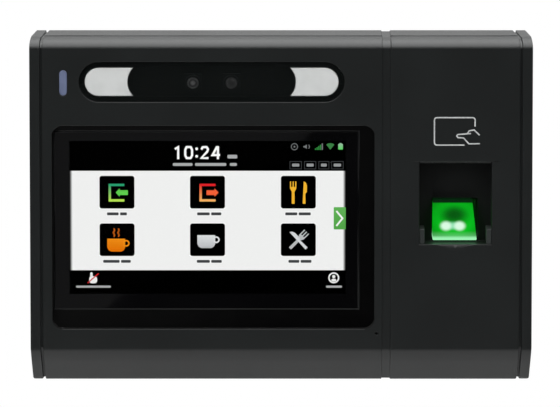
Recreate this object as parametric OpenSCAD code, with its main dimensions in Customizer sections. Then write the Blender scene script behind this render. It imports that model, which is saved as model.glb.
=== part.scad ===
// Wall-mounted fingerprint and card terminal with a 7 inch touch display.
// Frame: the wall is the plane y = 0, the face looks along -Y, +Z is up, x = 0 is the middle of the width.
// The terminal hangs on a wall plate and lifts off it along +Z.

/* [Case] */
// Overall width at the face
body_w = 280; // [270:1:300]
// Overall height
body_h = 194; // [190:1:206]
// Depth of the front covers
front_d = 14; // [13:0.5:16]
// Depth of the rear housings with their seal
rear_d = 26; // [25:0.5:32]
// How much narrower each side is at the back than at the face
side_draft = 2.9; // [1.5:0.1:4]
// Thickness of the case walls
wall_t = 2.4; // [2:0.1:2.8]
// Thickness of the end walls of the two modules
end_wall_t = 1.4; // [1.2:0.1:1.8]
// Height of the rounded top edge
roll_h = 6.2; // [5:0.1:7]
// Height of the sloped band at the bottom
chin_h = 19.7; // [18:0.1:22]
// Thickness of the rubber seal between front and rear shells
seal_t = 0.6; // [0.4:0.1:1]
// How far the seal stays inside the outer surface
seal_inset = 0.6; // [0.3:0.1:1]

/* [End caps and joint strip] */
// Thickness of an end cap up to its groove
cap_t = 5.6; // [4.5:0.1:6.5]
// Thickness of an end cap's outer wall
cap_wall_t = 2; // [1.6:0.1:2.6]
// Width of the groove beside an end cap
groove_w = 1.4; // [1:0.1:2]
// Depth of that groove
groove_d = 1.2; // [0.8:0.1:1.6]
// Width of the reader module with its end cap
reader_w = 79.1; // [78:0.1:84]
// Width of the joint strip
strip_w = 4.6; // [3.6:0.1:5.4]
// How far the joint strip lies below the covers
strip_sunk = 0.6; // [0.3:0.1:1]
// Diameter of the screw bosses in the end caps
cap_boss_d = 6; // [5:0.5:7]
// Distance of the end cap screws from mid-height
cap_screw_z = 60; // [50:1:70]

/* [Screen] */
// From the left side of the case to the screen recess
recess_side = 12.35; // [12:0.05:16]
// From the screen recess to the joint strip
recess_gap = 4.25; // [4:0.05:8]
// From the screen recess down to the sloped band
recess_foot = 10.9; // [10:0.1:16]
// Depth of the recess
recess_d = 3; // [2:0.1:4]
// Corner radius of the recess
recess_r = 6; // [4:0.5:8]
// Thickness of the recess floor
recess_floor_t = 3.4; // [3:0.1:4]
// Recess floor left of the touch glass
glass_left = 1.4; // [1.2:0.1:4]
// Recess floor right of the touch glass
glass_right = 9; // [6:0.1:12]
// Recess floor above the touch glass
glass_top = 3.65; // [2:0.05:6]
// Recess floor below the touch glass
glass_low = 11.05; // [6:0.05:14]
// Thickness of the touch glass
glass_t = 1.8; // [1.4:0.1:2]
// How far the glass stands proud of the recess floor
glass_proud = 0.3; // [0.1:0.1:0.5]
// Gap round the glass in its seat
glass_clear = 0.3; // [0.2:0.1:0.5]
// Thickness of the foam gasket under the glass
gasket_t = 0.4; // [0.3:0.1:0.6]
// Width of that gasket
gasket_w = 3; // [2:0.1:3.2]
// Black border left of the lit display
lit_left = 8.3; // [7.5:0.1:12]
// Black border right of the lit display
lit_right = 6.9; // [6.5:0.1:12]
// Black border above the lit display
lit_top = 5.3; // [5:0.1:9]
// Black border below the lit display
lit_low = 8.5; // [8:0.1:12]
// Margin of the view opening round the lit area
view_margin = 2; // [1.5:0.1:3]
// Depth of the display module
lcd_t = 5; // [4.5:0.1:6]
// Thickness of the display's glass cell
cell_t = 1.4; // [1:0.1:2]
// Border of the display module beside and above the lit area
lcd_border = 5.4; // [4.5:0.1:6]
// Border of the display module below the lit area
lcd_chin = 8; // [7:0.1:9]
// Thickness of the display module's steel frame
lcd_wall_t = 1; // [0.8:0.1:1.5]
// Thickness of the display bracket
bracket_t = 1.2; // [1:0.1:1.6]

/* [Camera window and lamps] */
// From the left end of the recess to that of the window
window_left = 15.3; // [14:0.1:20]
// From the right end of the window to that of the recess
window_right = 16.9; // [12:0.1:20]
// Height of the camera window
window_h = 22.1; // [21:0.1:23]
// From the top of the case to the window
window_top = 13.45; // [13:0.05:18]
// From the window down to the screen recess
window_gap = 13.45; // [13:0.05:18]
// Thickness of the window
window_t = 1.8; // [1.4:0.1:2.2]
// How far the window lies below the face
window_sunk = 0.6; // [0.3:0.1:1]
// Gap round the window in its seat
window_clear = 0.2; // [0.1:0.05:0.3]
// Width of the ledge that carries the window
window_ledge = 2.8; // [2.2:0.1:3.2]
// Thickness of that ledge
window_ledge_t = 2; // [1.6:0.1:2.4]
// Height of a lamp diffuser
lamp_h = 15.6; // [15:0.1:16]
// Length of a lamp diffuser
lamp_len = 26.6; // [24:0.1:30]
// Radius of the diffuser's hollow side
lamp_hollow_r = 11.7; // [10:0.1:14]
// How deep the hollow side cuts in
lamp_hollow_d = 3; // [2:0.1:4]
// Gap round a diffuser in the window
lamp_clear = 0.12; // [0.1:0.01:0.2]
// Thickness of a diffuser's rear flange
lamp_flange_t = 0.8; // [0.6:0.1:1.2]
// Width of a diffuser's rear flange
lamp_flange_w = 0.3; // [0.2:0.05:0.4]
// Distance between the two cameras
camera_pitch = 21.4; // [18:0.1:26]
// How far the pair of cameras is off the window's middle
camera_off_x = 0.2; // [-2:0.1:2]
// How far the cameras are below the window's middle
camera_off_z = -0.9; // [-1.5:0.1:1.5]
// Diameter of a camera's lens
lens_d = 6.6; // [5:0.1:7.5]
// Diameter of a camera's barrel
barrel_d = 8.8; // [8.4:0.1:9.6]
// Width and height of a camera's base block
camera_base = 10; // [9.6:0.1:12]
// Width of the status light
light_w = 4.2; // [3.6:0.1:5]
// Height of the status light
light_h = 14.1; // [12:0.1:16]
// From the status light to the window
light_gap = 6.75; // [6:0.05:7.5]
// How far the status light is below the middle of the window
light_drop = 0.5; // [0:0.1:1.5]

/* [Finger reader and card zone] */
// From the right side of the case to the middle of the opening
finger_side = 42.8; // [41:0.1:44]
// Width of the finger opening
finger_w = 40.4; // [38:0.1:42]
// Height of the finger opening
finger_h = 45.8; // [44:0.1:47]
// From the top of the case to the finger opening
finger_drop = 70; // [66:0.5:74]
// Thickness of the cover round the opening
finger_rim_t = 5.4; // [4.6:0.1:6]
// Width of the dished finger guide
dish_w = 53; // [50:0.5:55]
// Depth of the dished finger guide
dish_d = 1; // [0.5:0.1:1.4]
// How far the finger guide runs on below the opening
dish_below = 25.2; // [20:0.1:28]
// Depth of the finger well behind the cover's rim
well_d = 10; // [8:0.5:10.5]
// Wall thickness of the finger well
well_t = 1.6; // [1.2:0.1:2]
// Width of the sensor window at its lower edge
prism_w = 25.4; // [23:0.1:27]
// How much narrower the window is at its upper edge
prism_taper = 2.6; // [0:0.1:4]
// Height of the sensor window
prism_h = 21.7; // [19:0.1:23]
// How far the window leans back
prism_lean = 10; // [8:0.5:11]
// Depth of the window's lower edge below the face
prism_sunk = 1.2; // [0.6:0.1:2]
// Gap between the window's lower edge and the opening
prism_gap = 2.4; // [1.5:0.1:3]
// Gap round the prism in the well's floor
prism_clear = 0.2; // [0.1:0.05:0.4]
// Size of the card antenna board
antenna_w = 62; // [56:1:64]
// Height of the card antenna board
antenna_h = 46; // [40:1:50]
// From the finger opening up to the antenna board
antenna_over = 11; // [10:0.5:12]

/* [Wall plate] */
// Width of the wall plate
plate_w = 200; // [190:1:210]
// Height of the wall plate
plate_h = 150; // [144:1:154]
// Thickness of the wall plate
plate_t = 1.5; // [1.2:0.1:2]
// Free depth in front of the plate for wall screw heads
head_room = 3; // [2.5:0.1:3.5]
// Gap between the case's rim and the wall
wall_gap = 0.6; // [0.4:0.1:1]
// Height that the terminal lifts to clear the hooks
lift = 8; // [7:0.5:10]
// Width of a hook
hook_w = 10; // [8:0.5:12]
// Distance of the hooks from the middle
hook_x = 80; // [78:0.5:82]
// Height of the upper pair of hooks
hook_top_z = 50; // [46:1:52]
// Height of the lower pair of hooks
hook_low_z = -42; // [-46:1:-40]
// Gap round a hook
hook_clear = 0.4; // [0.3:0.05:0.6]
// Distance between the wall screws across
wall_screw_dx = 150; // [140:1:156]
// Distance between the wall screws in height
wall_screw_dz = 130; // [124:1:134]
// Diameter of the wall screw holes
wall_screw_d = 5.5; // [4.5:0.1:6]
// Distance between the two holes for a wall box
box_screw_dx = 60; // [60:0.1:84]
// Diameter of the wall box holes
box_screw_d = 4.2; // [3.8:0.1:4.6]
// Width of the cable opening
cable_w = 70; // [60:1:76]
// Height of the cable opening
cable_h = 36; // [32:1:40]
// From the joint strip to the middle of the cable opening
cable_side = 63.3; // [60:0.1:66]
// Upper edge of the cable opening over the bottom of the case
cable_up = 69; // [67:0.5:70]
// Width of the foot tab under the case
tab_w = 44; // [40:1:48]
// Depth of the foot tab from the wall
tab_d = 16; // [15:0.5:17]
// Distance of the security screw and the tamper plunger from the middle
foot_x = 12; // [10:0.5:14]
// Distance of the security screw and the tamper plunger from the wall
foot_y = 11.5; // [11:0.1:12]
// Gap between the foot tab and the case above it
tab_clear = 0.3; // [0.2:0.05:0.5]

/* [Boards and sockets] */
// Thickness of the circuit boards
board_t = 1.6; // [1.2:0.1:2]
// Distance from the display bracket to the main board
standoff = 7; // [6.5:0.1:7.5]
// From the main board to the joint strip
board_gap = 8.3; // [7:0.1:10]
// Width of the main board
board_w = 112; // [108:1:114]
// How far the main board stands above the display bracket
board_over = 9.55; // [8:0.05:12]
// Height of the main board
board_h = 88; // [84:1:92]
// Width of the network jack
jack_w = 16; // [15:0.1:17]
// Depth of the network jack along the plug
jack_len = 18; // [16:0.5:21]
// Height of the network jack above the board
jack_h = 11.6; // [11:0.1:12]
// Width of the power jack
power_w = 9; // [8.5:0.1:10]
// Diameter of the power jack's socket
power_d = 6; // [5.5:0.1:6.4]
// Number of wiring sockets
socket_count = 2; // [1:1:2]
// Width of the USB port
usb_w = 13.2; // [13:0.1:14]
// From the left side of the case to the USB port
usb_side = 42; // [40:0.5:44]
// Length of the USB flap along the case
flap_w = 22; // [20:0.5:24]
// Depth of the USB flap
flap_d = 13; // [12:0.5:14]
// Thickness of the USB flap
flap_t = 1.6; // [1.2:0.1:1.8]
// Gap round the USB flap
flap_clear = 0.3; // [0.2:0.05:0.4]
// From the USB port to the reset button
reset_off = 26; // [24:0.5:28]
// Diameter of the reset button
reset_d = 4; // [3:0.1:5]
// Travel of the reset button
reset_travel = 0.8; // [0.5:0.1:1]
// Diameter of the speaker
speaker_d = 16; // [14:0.5:16.5]
// Diameter of the speaker's sound holes
sound_hole_d = 1.6; // [1.2:0.1:1.8]
// Diameter of the case and board screws
screw_d = 2.9; // [2.4:0.1:3.2]
// Gap between a screw and its hole
screw_clear = 0.05; // [0.03:0.01:0.1]
// Diameter of the screw heads
head_d = 5.4; // [5:0.1:5.6]
// Height of the screw heads
head_h = 1.9; // [1.6:0.1:2.1]
// Diameter of the screw columns
column_d = 7; // [6.5:0.1:7.4]

/* [Hidden] */
$fn = 48;

cut = 1;
roll_steps = 12;

// Planes from the wall to the face
back_y = -wall_gap;
part_y = back_y - rear_d;
face_y = part_y - front_d;
rear_y = part_y + seal_t;
wall_face_y = -plate_t - head_room;
inner_back_y = wall_face_y - wall_t;
inner_face_y = face_y + wall_t;
floor_y = face_y + recess_d;
floor_back_y = floor_y + recess_floor_t;
bracket_y = floor_back_y + lcd_t;
board_y = bracket_y + bracket_t + standoff;
board_back_y = board_y + board_t;
window_y = face_y + window_sunk;
window_back_y = window_y + window_t;
ledge_back_y = window_back_y + window_ledge_t;
camera_gap = 2.8;
camera_board_y = ledge_back_y + camera_gap;
rim_back_y = face_y + finger_rim_t;
well_floor_y = rim_back_y + well_d;
well_back_y = well_floor_y + well_t;

// Heights
top_z = body_h / 2;
bottom_z = -body_h / 2;
chin_z = bottom_z + chin_h;
chin_len = norm([front_d, chin_h]);

// The screen recess fills the main module, and the window, glass and lit area follow it
strip_x = body_w / 2 - reader_w - strip_w;
recess_x0 = recess_side - body_w / 2;
recess_x1 = strip_x - recess_gap;
recess_w = recess_x1 - recess_x0;
recess_x = (recess_x0 + recess_x1) / 2;
recess_z1 = top_z - window_top - window_h - window_gap;
recess_z0 = chin_z + recess_foot;
recess_h = recess_z1 - recess_z0;
recess_z = (recess_z0 + recess_z1) / 2;
glass_w = recess_w - glass_left - glass_right;
glass_h = recess_h - glass_top - glass_low;
glass_x = recess_x + (glass_left - glass_right) / 2;
glass_z = recess_z + (glass_low - glass_top) / 2;
active_w = glass_w - lit_left - lit_right;
active_h = glass_h - lit_top - lit_low;
active_x = glass_x + (lit_left - lit_right) / 2;
active_z = glass_z + (lit_low - lit_top) / 2;
window_w = recess_w - window_left - window_right;
window_x = recess_x + (window_left - window_right) / 2;
window_z = top_z - window_top - window_h / 2;
light_x = window_x - window_w / 2 - light_gap - light_w / 2;
light_z = window_z - light_drop;

// Display module
lcd_x0 = active_x - active_w / 2 - lcd_border;
lcd_x1 = active_x + active_w / 2 + lcd_border;
lcd_z0 = active_z - active_h / 2 - lcd_chin;
lcd_z1 = active_z + active_h / 2 + lcd_border;

// Screws: the columns of the case stand at the corners of each module
screw_r = screw_d / 2;
hole_r = screw_r + screw_clear;
column_r = column_d / 2;
rear_column_r = head_d / 2 + 1.5;
column_top_z = top_z - 7.5;
column_low_z = chin_z - 2.6;
column_in = 11;
main_left_x = -body_w / 2 + cap_t + groove_w;
main_columns = [for (x = [main_left_x + column_in, (main_left_x + strip_x) / 2, strip_x - 8.3],
                     z = [column_top_z, column_low_z]) [x, z]];
reader_columns = [for (x = [strip_x + strip_w + 7.1, -main_left_x - column_in + 2.5],
                       z = [column_top_z, column_low_z]) [x, z]];
pilot_len = 8;
bracket_screw_in = 4;
bracket_screws_xz = [for (x = [lcd_x0 + 15, lcd_x1 - 14], z = [lcd_z0 - bracket_screw_in,
      lcd_z1 + bracket_screw_in])
                     [x, z]];
bracket_z0 = lcd_z0 - 2 * bracket_screw_in;
bracket_z1 = lcd_z1 + 2 * bracket_screw_in;
board_post_d = 6;
board_x = strip_x - board_gap - board_w;
board_z = bracket_z1 + board_over - board_h;
board_screws_xz = [for (x = [board_x + 4, lcd_x1 - 4.5], z = [board_z + 4, bracket_z1 - 4]) [x, z]];

// Camera board
camera_board_x0 = light_x - 5;
camera_board_x1 = window_x + window_w / 2 - 1;
camera_board_h = window_h + 3.4;
camera_post_r = 2.2;
small_r = 1;
small_head_r = 1.9;
small_head_h = 1.2;
camera_posts_xz = [for (x = [window_x - window_w / 2 + 5, window_x + window_w / 2 - 6], s = [-1, 1])
                   [x, window_z + s * (window_h / 2 + 0.3)]];
cameras_x = [for (s = [-1, 1]) window_x + camera_off_x + s * camera_pitch / 2];
camera_z = window_z + camera_off_z;
chip_t = 1;

// Microphone, outside the recess's lower right corner
mic_x = recess_x + recess_w / 2 + 1.2;
mic_z = recess_z - recess_h / 2 - 2.6;
mic_hole_r = 0.75;
mic_off = 2.4;
boot_w = 7.6;
boot_t = 3;

// Finger opening, well and prism
finger_x = body_w / 2 - finger_side;
finger_top = top_z - finger_drop;
finger_bottom = finger_top - finger_h;
dish_bottom = finger_bottom - dish_below;
dish_r = (pow(dish_w / 2, 2) + pow(dish_d, 2)) / (2 * dish_d);
scoop_edge_r = 28;
scoop_far = 45;
scoop_r = norm([scoop_edge_r, scoop_far]);
scoop_drop = 4;
rim_margin = 3;
well_flange_w = 8;
prism_z0 = finger_bottom + prism_gap;
prism_z1 = prism_z0 + prism_h;
prism_y = face_y + prism_sunk;
prism_top_y = prism_y + prism_lean;
prism_back_y = well_back_y + 3;
cheek_w = 2.8;
cheek_h = 8.4;
cheek_clear = 0.2;
sensor_wall = 4.3;
sensor_z0 = prism_z0 - 5;
sensor_z1 = prism_z1 + 5;
sensor_back_y = prism_back_y + 7.6;
well_screws_xz = [for (s = [-1, 1], z = [finger_top - 7, finger_bottom + 7])
                  [finger_x + s * (finger_w / 2 + well_t + well_flange_w / 2 - 0.8), z]];
sensor_screws_xz = [for (s = [-1, 1], z = [prism_z0 + 1, prism_z1 - 1])
                    [finger_x + s * (prism_w / 2 - 1.2 + sensor_wall / 2 + 0.6), z]];

// Reader board and card antenna
reader_board_x0 = strip_x + strip_w + 8.3;
reader_board_w = 56;
reader_board_z0 = sensor_z1 + 4;
reader_board_h = 66;
reader_posts_xz = [for (x = [reader_board_x0 + 3, reader_board_x0 + reader_board_w - 3],
                        z = [reader_board_z0 + 3, reader_board_z0 + reader_board_h - 3]) [x, z]];
antenna_gap = 1;
antenna_z = finger_top + antenna_over;
antenna_y = inner_face_y + antenna_gap;
antenna_board_t = 1.2;
stake_r = 1.4;
antenna_posts_xz = [for (sx = [-1, 1], z = [antenna_z + 3, antenna_z + antenna_h - 3])
                    [finger_x + sx * (antenna_w / 2 - 3), z]];

// Hooks of the wall plate
hook_up = lift - 1;
hook_rest = 0.2;
hook_y = inner_back_y - hook_clear;
hooks_xz = [for (s = [-1, 1], z = [hook_low_z, hook_top_z]) [s * hook_x, z]];

// Foot tab, security screw and tamper plunger
security_head_h = 2.2;
security_head_r = 3.2;
security_r = 1.95;
security_len = 12;
foot_low_z = bottom_z + 0.2 + security_head_h;
foot_top_z = foot_low_z + plate_t;
foot_floor_z = foot_top_z + tab_clear;
foot_side = 2;
foot_front = 1.5;
insert_r = 3;
insert_len = 8;
insert_clear = 0.1;
boss_r = 5;
tamper_r = 1.5;
tamper_clear = 0.1;
tamper_ratio = 0.3;
tamper_out = tamper_ratio * lift;
tamper_switch_z = foot_floor_z + wall_t + tamper_out + 2.6;

// Cable bay behind the sockets
cable_x = strip_x - cable_side;
cable_top = bottom_z + cable_up;
bay_side = 5;
bay_low = 6;
bay_over = 8;
bay_x0 = cable_x - cable_w / 2 - bay_side;
bay_x1 = cable_x + cable_w / 2 + bay_side;
bay_z0 = cable_top - cable_h - bay_low;
bay_z1 = cable_top + bay_over;

// Port board with the USB port and the reset switch
usb_x = usb_side - body_w / 2;
reset_x = usb_x + reset_off;
port_left = 14;
port_right = 10;
port_low = 5;
port_h = 28;
port_post_in = 4;
port_board_x0 = usb_x - port_left;
port_board_x1 = reset_x + port_right;
port_board_z0 = bottom_z + port_low;
port_board_z1 = port_board_z0 + port_h;
port_t = 6;
usb_shell_t = 0.5;
usb_tongue_in = 1.2;
usb_tongue_t = 1.6;
usb_back = 2;
port_y = board_back_y + port_t / 2;
usb_len = 14;
usb_mouth_z = bottom_z + 5.4;
port_posts_xz = [for (x = [port_board_x0 + port_post_in, port_board_x1 - port_post_in])
                 [x, port_board_z1 - port_post_in]];
flap_y = -9.5;
knuckle_r = 1.4;
flap_axis_z = bottom_z + knuckle_r;
flap_pin_r = 0.8;
flap_pin_len = 1.8;
flap_pin_clear = 0.08;
flap_block_top = bottom_z + 4.6;
reset_r = reset_d / 2;
reset_flange = 1;
reset_gap = 0.05;
reset_nub_z = bottom_z + wall_t + reset_gap + 0.8 + 1.2 + reset_travel + 0.1;

// Speaker over its sound holes
speaker_x = finger_x;
speaker_y = -16.4;
speaker_ring = 1.2;
hole_pitch = 2.6;

// Link ribbon between the modules
link_z = 32;
link_h = 15;
link_t = 0.6;
socket_t = 2.5;
link_y = board_y - 1.3;

// Ribbons and what stands on the main board's back
ribbon_x = board_x + 44;
ribbon_w = 30;
ribbon_z = board_z + 18;
ribbon_t = 0.3;
ribbon_slot = 2;
ribbon_end = 1;
camera_ribbon_x = board_x + 24;
camera_ribbon_w = 16;
camera_ribbon_z = board_z + board_h - 6;
camera_socket_t = 1.5;
camera_socket_z = window_z - camera_board_h / 2 + 4;
link_end = 6;
shield_x = board_x + 38;
shield_w = 30;
shield_z = board_z + 38;
shield_t = 3;
shield_wall_t = 0.5;
processor_in = 8;
processor_w = 14;
processor_t = 1.5;
memory_w = 12;
memory_h = 10;
memory_t = 1.2;
memory_x = shield_x - 20;
memory_z = shield_z - 8;
memory_pitch = 14;
driver_x = reader_board_x0 + 14;
driver_z = reader_board_z0 + 40;
driver_w = 10;
driver_pitch = 18;
coin_x = board_x + 88;
coin_z = board_z + 56;
coin_r = 10;
coin_t = 3.2;
coin_clear = 0.1;
coin_wall_t = 1.3;
coin_floor_t = 1;
coin_lip = 0.2;
coin_back_y = board_back_y + coin_floor_t + coin_t;
jack_x = board_x + 24;
jack_wall_x = 2.1;
jack_wall_y = 1.6;
jack_back = 4;
power_x = board_x + 46;
power_len = 14;
power_back = 4;
power_wall = 1.6;
power_pin_r = 1;
power_mouth = 1;
sockets_x = board_x + 62;
plug_w = 13;
plug_pitch = 15;
plug_h = 7;
plug_len = 8;
plug_wall_t = 1;
plug_back = 2;
mic_r = 3;
coil_t = 0.2;
sensor_ledge = 1.2;
box_screw_z = 10;

// Lengths of the screws under the head
housing_screw_len = wall_face_y - head_h - 0.2 - part_y + pilot_len - 1;

// End cap screws, at mid-depth of the rear housings
cap_screw_y = (part_y + inner_back_y) / 2;
cap_inner_x = -body_w / 2 + cap_t + groove_w + side_draft + 2 * cut;
cap_head_gap = 0.25;
cap_screw_len = cap_t + groove_w + end_wall_t + cap_head_gap - cap_wall_t - 1;

function side_x(y) = body_w / 2 - side_draft * (y - face_y) / (back_y - face_y);
function end_x(y) = side_x(y) - cap_t - groove_w;
function roll_points(inset) =
    [for (i = [0:roll_steps])
        let (t = 90 * i / roll_steps)
        [part_y - (front_d - inset) * sin(t), top_z - roll_h + (roll_h - inset) * cos(t)]];
function chin_line(y, inset) = chin_z - (y - face_y) * chin_h / front_d + inset * chin_len / front_d;
function chin_end(inset) = part_y + inset * (chin_len - front_d) / chin_h;
function front_outline(inset, back) =
    concat(back > part_y ? [[back, top_z - inset]] : [],
           roll_points(inset),
           [[face_y + inset, chin_line(face_y + inset, inset)], [back, chin_line(back, inset)]]);
function case_outline(inset, back) =
    concat([[back, top_z - inset]],
           roll_points(inset),
           [[face_y + inset, chin_line(face_y + inset, inset)], [chin_end(inset), bottom_z + inset],
            [back, bottom_z + inset]]);

// Extrudes an outline of (y, z) points between two x
module along_x(x0, x1) {
    translate([x0, 0, 0]) rotate([90, 0, 90]) linear_extrude(x1 - x0) children();
}

// Extrudes an outline of (x, z) points between two y
module along_y(y0, y1) {
    translate([0, y1, 0]) rotate([90, 0, 0]) linear_extrude(y1 - y0) children();
}

module block(x0, x1, y0, y1, z0, z1) {
    translate([x0, y0, z0]) cube([x1 - x0, y1 - y0, z1 - z0]);
}

module rod_x(x0, x1, y, z, r) {
    translate([x0, y, z]) rotate([0, 90, 0]) cylinder(r = r, h = x1 - x0);
}

module rod_y(x, z, r, y0, y1) {
    translate([x, y1, z]) rotate([90, 0, 0]) cylinder(r = r, h = y1 - y0);
}

module rod_z(x, y, r, z0, z1) {
    translate([x, y, z0]) cylinder(r = r, h = z1 - z0);
}

module round_rect(w, h, r) {
    square([w - 2 * r, h], center = true);
    square([w, h - 2 * r], center = true);
    for (sx = [-1, 1], sz = [-1, 1])
        translate([sx * (w / 2 - r), sz * (h / 2 - r)]) circle(r = r);
}

module stadium(w, h) {
    r = min(w, h) / 2;
    square([w > h ? w - h : w, w > h ? h : h - w], center = true);
    for (s = [-1, 1])
        translate(w > h ? [s * (w / 2 - r), 0] : [0, s * (h / 2 - r)]) circle(r = r);
}

// Plan of a module between its drafted outer end and the joint strip
module main_space(inset) {
    translate([0, 0, bottom_z - cut])
        linear_extrude(body_h + 2 * cut)
            polygon([[-end_x(face_y - cut) + inset, face_y - cut], [strip_x - inset, face_y - cut],
                     [strip_x - inset, back_y + cut], [-end_x(back_y + cut) + inset, back_y + cut]]);
}

module reader_space(inset) {
    translate([0, 0, bottom_z - cut])
        linear_extrude(body_h + 2 * cut)
            polygon([[strip_x + strip_w + inset, face_y - cut], [end_x(face_y - cut) - inset, face_y - cut],
                     [end_x(back_y + cut) - inset, back_y + cut], [strip_x + strip_w + inset,
                           back_y + cut]]);
}

module front_solid() {
    along_x(-body_w / 2, body_w / 2) polygon(front_outline(0, part_y));
}

// Front shell of a module: its children are its plan, and its plan inside the end walls
module front_shell() {
    difference() {
        intersection() {
            front_solid();
            children(0);
        }
        intersection() {
            along_x(-body_w / 2, body_w / 2) polygon(front_outline(wall_t, part_y + cut));
            children(1);
        }
    }
}

// Rear shell of a module, open at the front, with a pocket at the back for the wall plate
module rear_shell() {
    difference() {
        intersection() {
            block(-body_w / 2, body_w / 2, rear_y, back_y, bottom_z, top_z);
            children(0);
        }
        intersection() {
            block(-body_w / 2, body_w / 2, rear_y - cut, inner_back_y, bottom_z + wall_t, top_z - wall_t);
            children(1);
        }
        block(-body_w / 2, body_w / 2, wall_face_y, back_y + cut, bottom_z + wall_t, top_z - wall_t);
    }
}

module rear_columns(places) {
    for (p = places) rod_y(p[0], p[1], rear_column_r, rear_y, wall_face_y);
}

module column_bores(places) {
    for (p = places) {
        rod_y(p[0], p[1], hole_r, rear_y - cut, wall_face_y + cut);
        rod_y(p[0], p[1], head_d / 2 + 0.2, wall_face_y - head_h - 0.2, wall_face_y + cut);
    }
}

module hook_slots(side) {
    for (p = hooks_xz)
        if (sign(p[0]) == side)
            block(p[0] - hook_w / 2 - hook_clear, p[0] + hook_w / 2 + hook_clear,
                  inner_back_y - cut, wall_face_y + cut,
                  p[1] - plate_t - lift - hook_clear, p[1] + hook_rest);
}

// A screw that points along +Z, with its head bearing at z = 0 and a hexagon socket in the head
module screw(len, r, head_r, head) {
    difference() {
        translate([0, 0, -head]) cylinder(r = head_r, h = head);
        translate([0, 0, -head - cut]) cylinder(r = head_r * 0.45, h = cut + head * 0.6, $fn = 6);
    }
    cylinder(r = r, h = len);
}

// A screw along Y: its head bears at y and its shank points to the face or to the wall
module screw_to_face(x, z, y, len) {
    translate([x, y, z]) rotate([90, 0, 0]) screw(len, screw_r, head_d / 2, head_h);
}

module screw_to_wall(x, z, y, len) {
    translate([x, y, z]) rotate([-90, 0, 0]) screw(len, screw_r, head_d / 2, head_h);
}

module main_front_cover() {
    color([0.14, 0.15, 0.15])
    difference() {
        union() {
            front_shell() {
                main_space(0);
                main_space(end_wall_t);
            }
            intersection() {
                front_solid();
                main_space(0);
                union() {
                    block(recess_x - recess_w / 2 - wall_t, recess_x + recess_w / 2 + wall_t, face_y,
                          floor_back_y,
                          recess_z - recess_h / 2 - wall_t, recess_z + recess_h / 2 + wall_t);
                    block(window_x - window_w / 2 - wall_t, window_x + window_w / 2 + wall_t, face_y,
                          ledge_back_y,
                          window_z - window_h / 2 - wall_t, window_z + window_h / 2 + wall_t);
                    block(mic_x - mic_off - boot_w / 2, strip_x, face_y, floor_back_y,
                          mic_z - boot_w / 2, mic_z + boot_w / 2);
                    for (p = main_columns) rod_y(p[0], p[1], column_r, inner_face_y - cut, part_y);
                    for (p = bracket_screws_xz) rod_y(p[0], p[1], column_r, inner_face_y - cut, bracket_y);
                    for (p = camera_posts_xz)
                        rod_y(p[0], p[1], camera_post_r, inner_face_y - cut, camera_board_y);
                }
            }
        }
        translate([recess_x, 0, recess_z])
            along_y(face_y - cut, floor_y) round_rect(recess_w, recess_h, recess_r);
        block(glass_x - glass_w / 2 - glass_clear, glass_x + glass_w / 2 + glass_clear,
              floor_y - cut, floor_y + glass_t + gasket_t - glass_proud,
              glass_z - glass_h / 2 - glass_clear, glass_z + glass_h / 2 + glass_clear);
        block(active_x - active_w / 2 - view_margin, active_x + active_w / 2 + view_margin,
              floor_y - cut, floor_back_y + cut,
              active_z - active_h / 2 - view_margin, active_z + active_h / 2 + view_margin);
        translate([window_x, 0, window_z]) {
            along_y(face_y - cut, window_back_y) stadium(window_w + 2 * window_clear,
                  window_h + 2 * window_clear);
            along_y(window_back_y - cut, ledge_back_y + cut)
                stadium(window_w - 2 * window_ledge, window_h - 2 * window_ledge);
        }
        translate([light_x, 0, light_z])
            along_y(face_y - cut, inner_face_y + cut) stadium(light_w + 0.2, light_h + 0.2);
        rod_y(mic_x, mic_z, mic_hole_r, face_y - cut, floor_back_y + cut);
        for (p = main_columns) rod_y(p[0], p[1], hole_r, part_y - pilot_len, part_y + cut);
        for (p = bracket_screws_xz) rod_y(p[0], p[1], hole_r, bracket_y - 6, bracket_y + cut);
        for (p = camera_posts_xz)
            rod_y(p[0], p[1], small_r + screw_clear, camera_board_y - 4, camera_board_y + cut);
    }
}

module reader_front_cover() {
    color([0.14, 0.15, 0.15])
    difference() {
        union() {
            front_shell() {
                reader_space(0);
                reader_space(end_wall_t);
            }
            intersection() {
                front_solid();
                reader_space(0);
                union() {
                    block(finger_x - dish_w / 2 - rim_margin, finger_x + dish_w / 2 + rim_margin, face_y,
                          rim_back_y,
                          finger_bottom - 14, finger_top + 5);
                    for (p = reader_columns) rod_y(p[0], p[1], column_r, inner_face_y - cut, part_y);
                    for (p = antenna_posts_xz) {
                        rod_y(p[0], p[1], stake_r + 1, inner_face_y - cut, antenna_y);
                        rod_y(p[0], p[1], stake_r, inner_face_y - cut, antenna_y + antenna_board_t + 0.6);
                    }
                }
            }
        }
        block(finger_x - finger_w / 2, finger_x + finger_w / 2, face_y - cut, rim_back_y + cut,
              finger_bottom, finger_top);
        rod_z(finger_x, face_y + dish_d - dish_r, dish_r, dish_bottom, finger_top + 1);
        intersection() {
            translate([finger_x, face_y - scoop_far, finger_bottom - scoop_drop + scoop_edge_r])
                sphere(r = scoop_r);
            block(finger_x - finger_w / 2 + 6, finger_x + finger_w / 2 - 6, face_y - cut, rim_back_y,
                  finger_bottom - scoop_drop - cut, finger_bottom + cut);
        }
        for (p = reader_columns) rod_y(p[0], p[1], hole_r, part_y - pilot_len, part_y + cut);
        for (p = well_screws_xz) rod_y(p[0], p[1], hole_r, rim_back_y - 3.4, rim_back_y + cut);
    }
}

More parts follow.
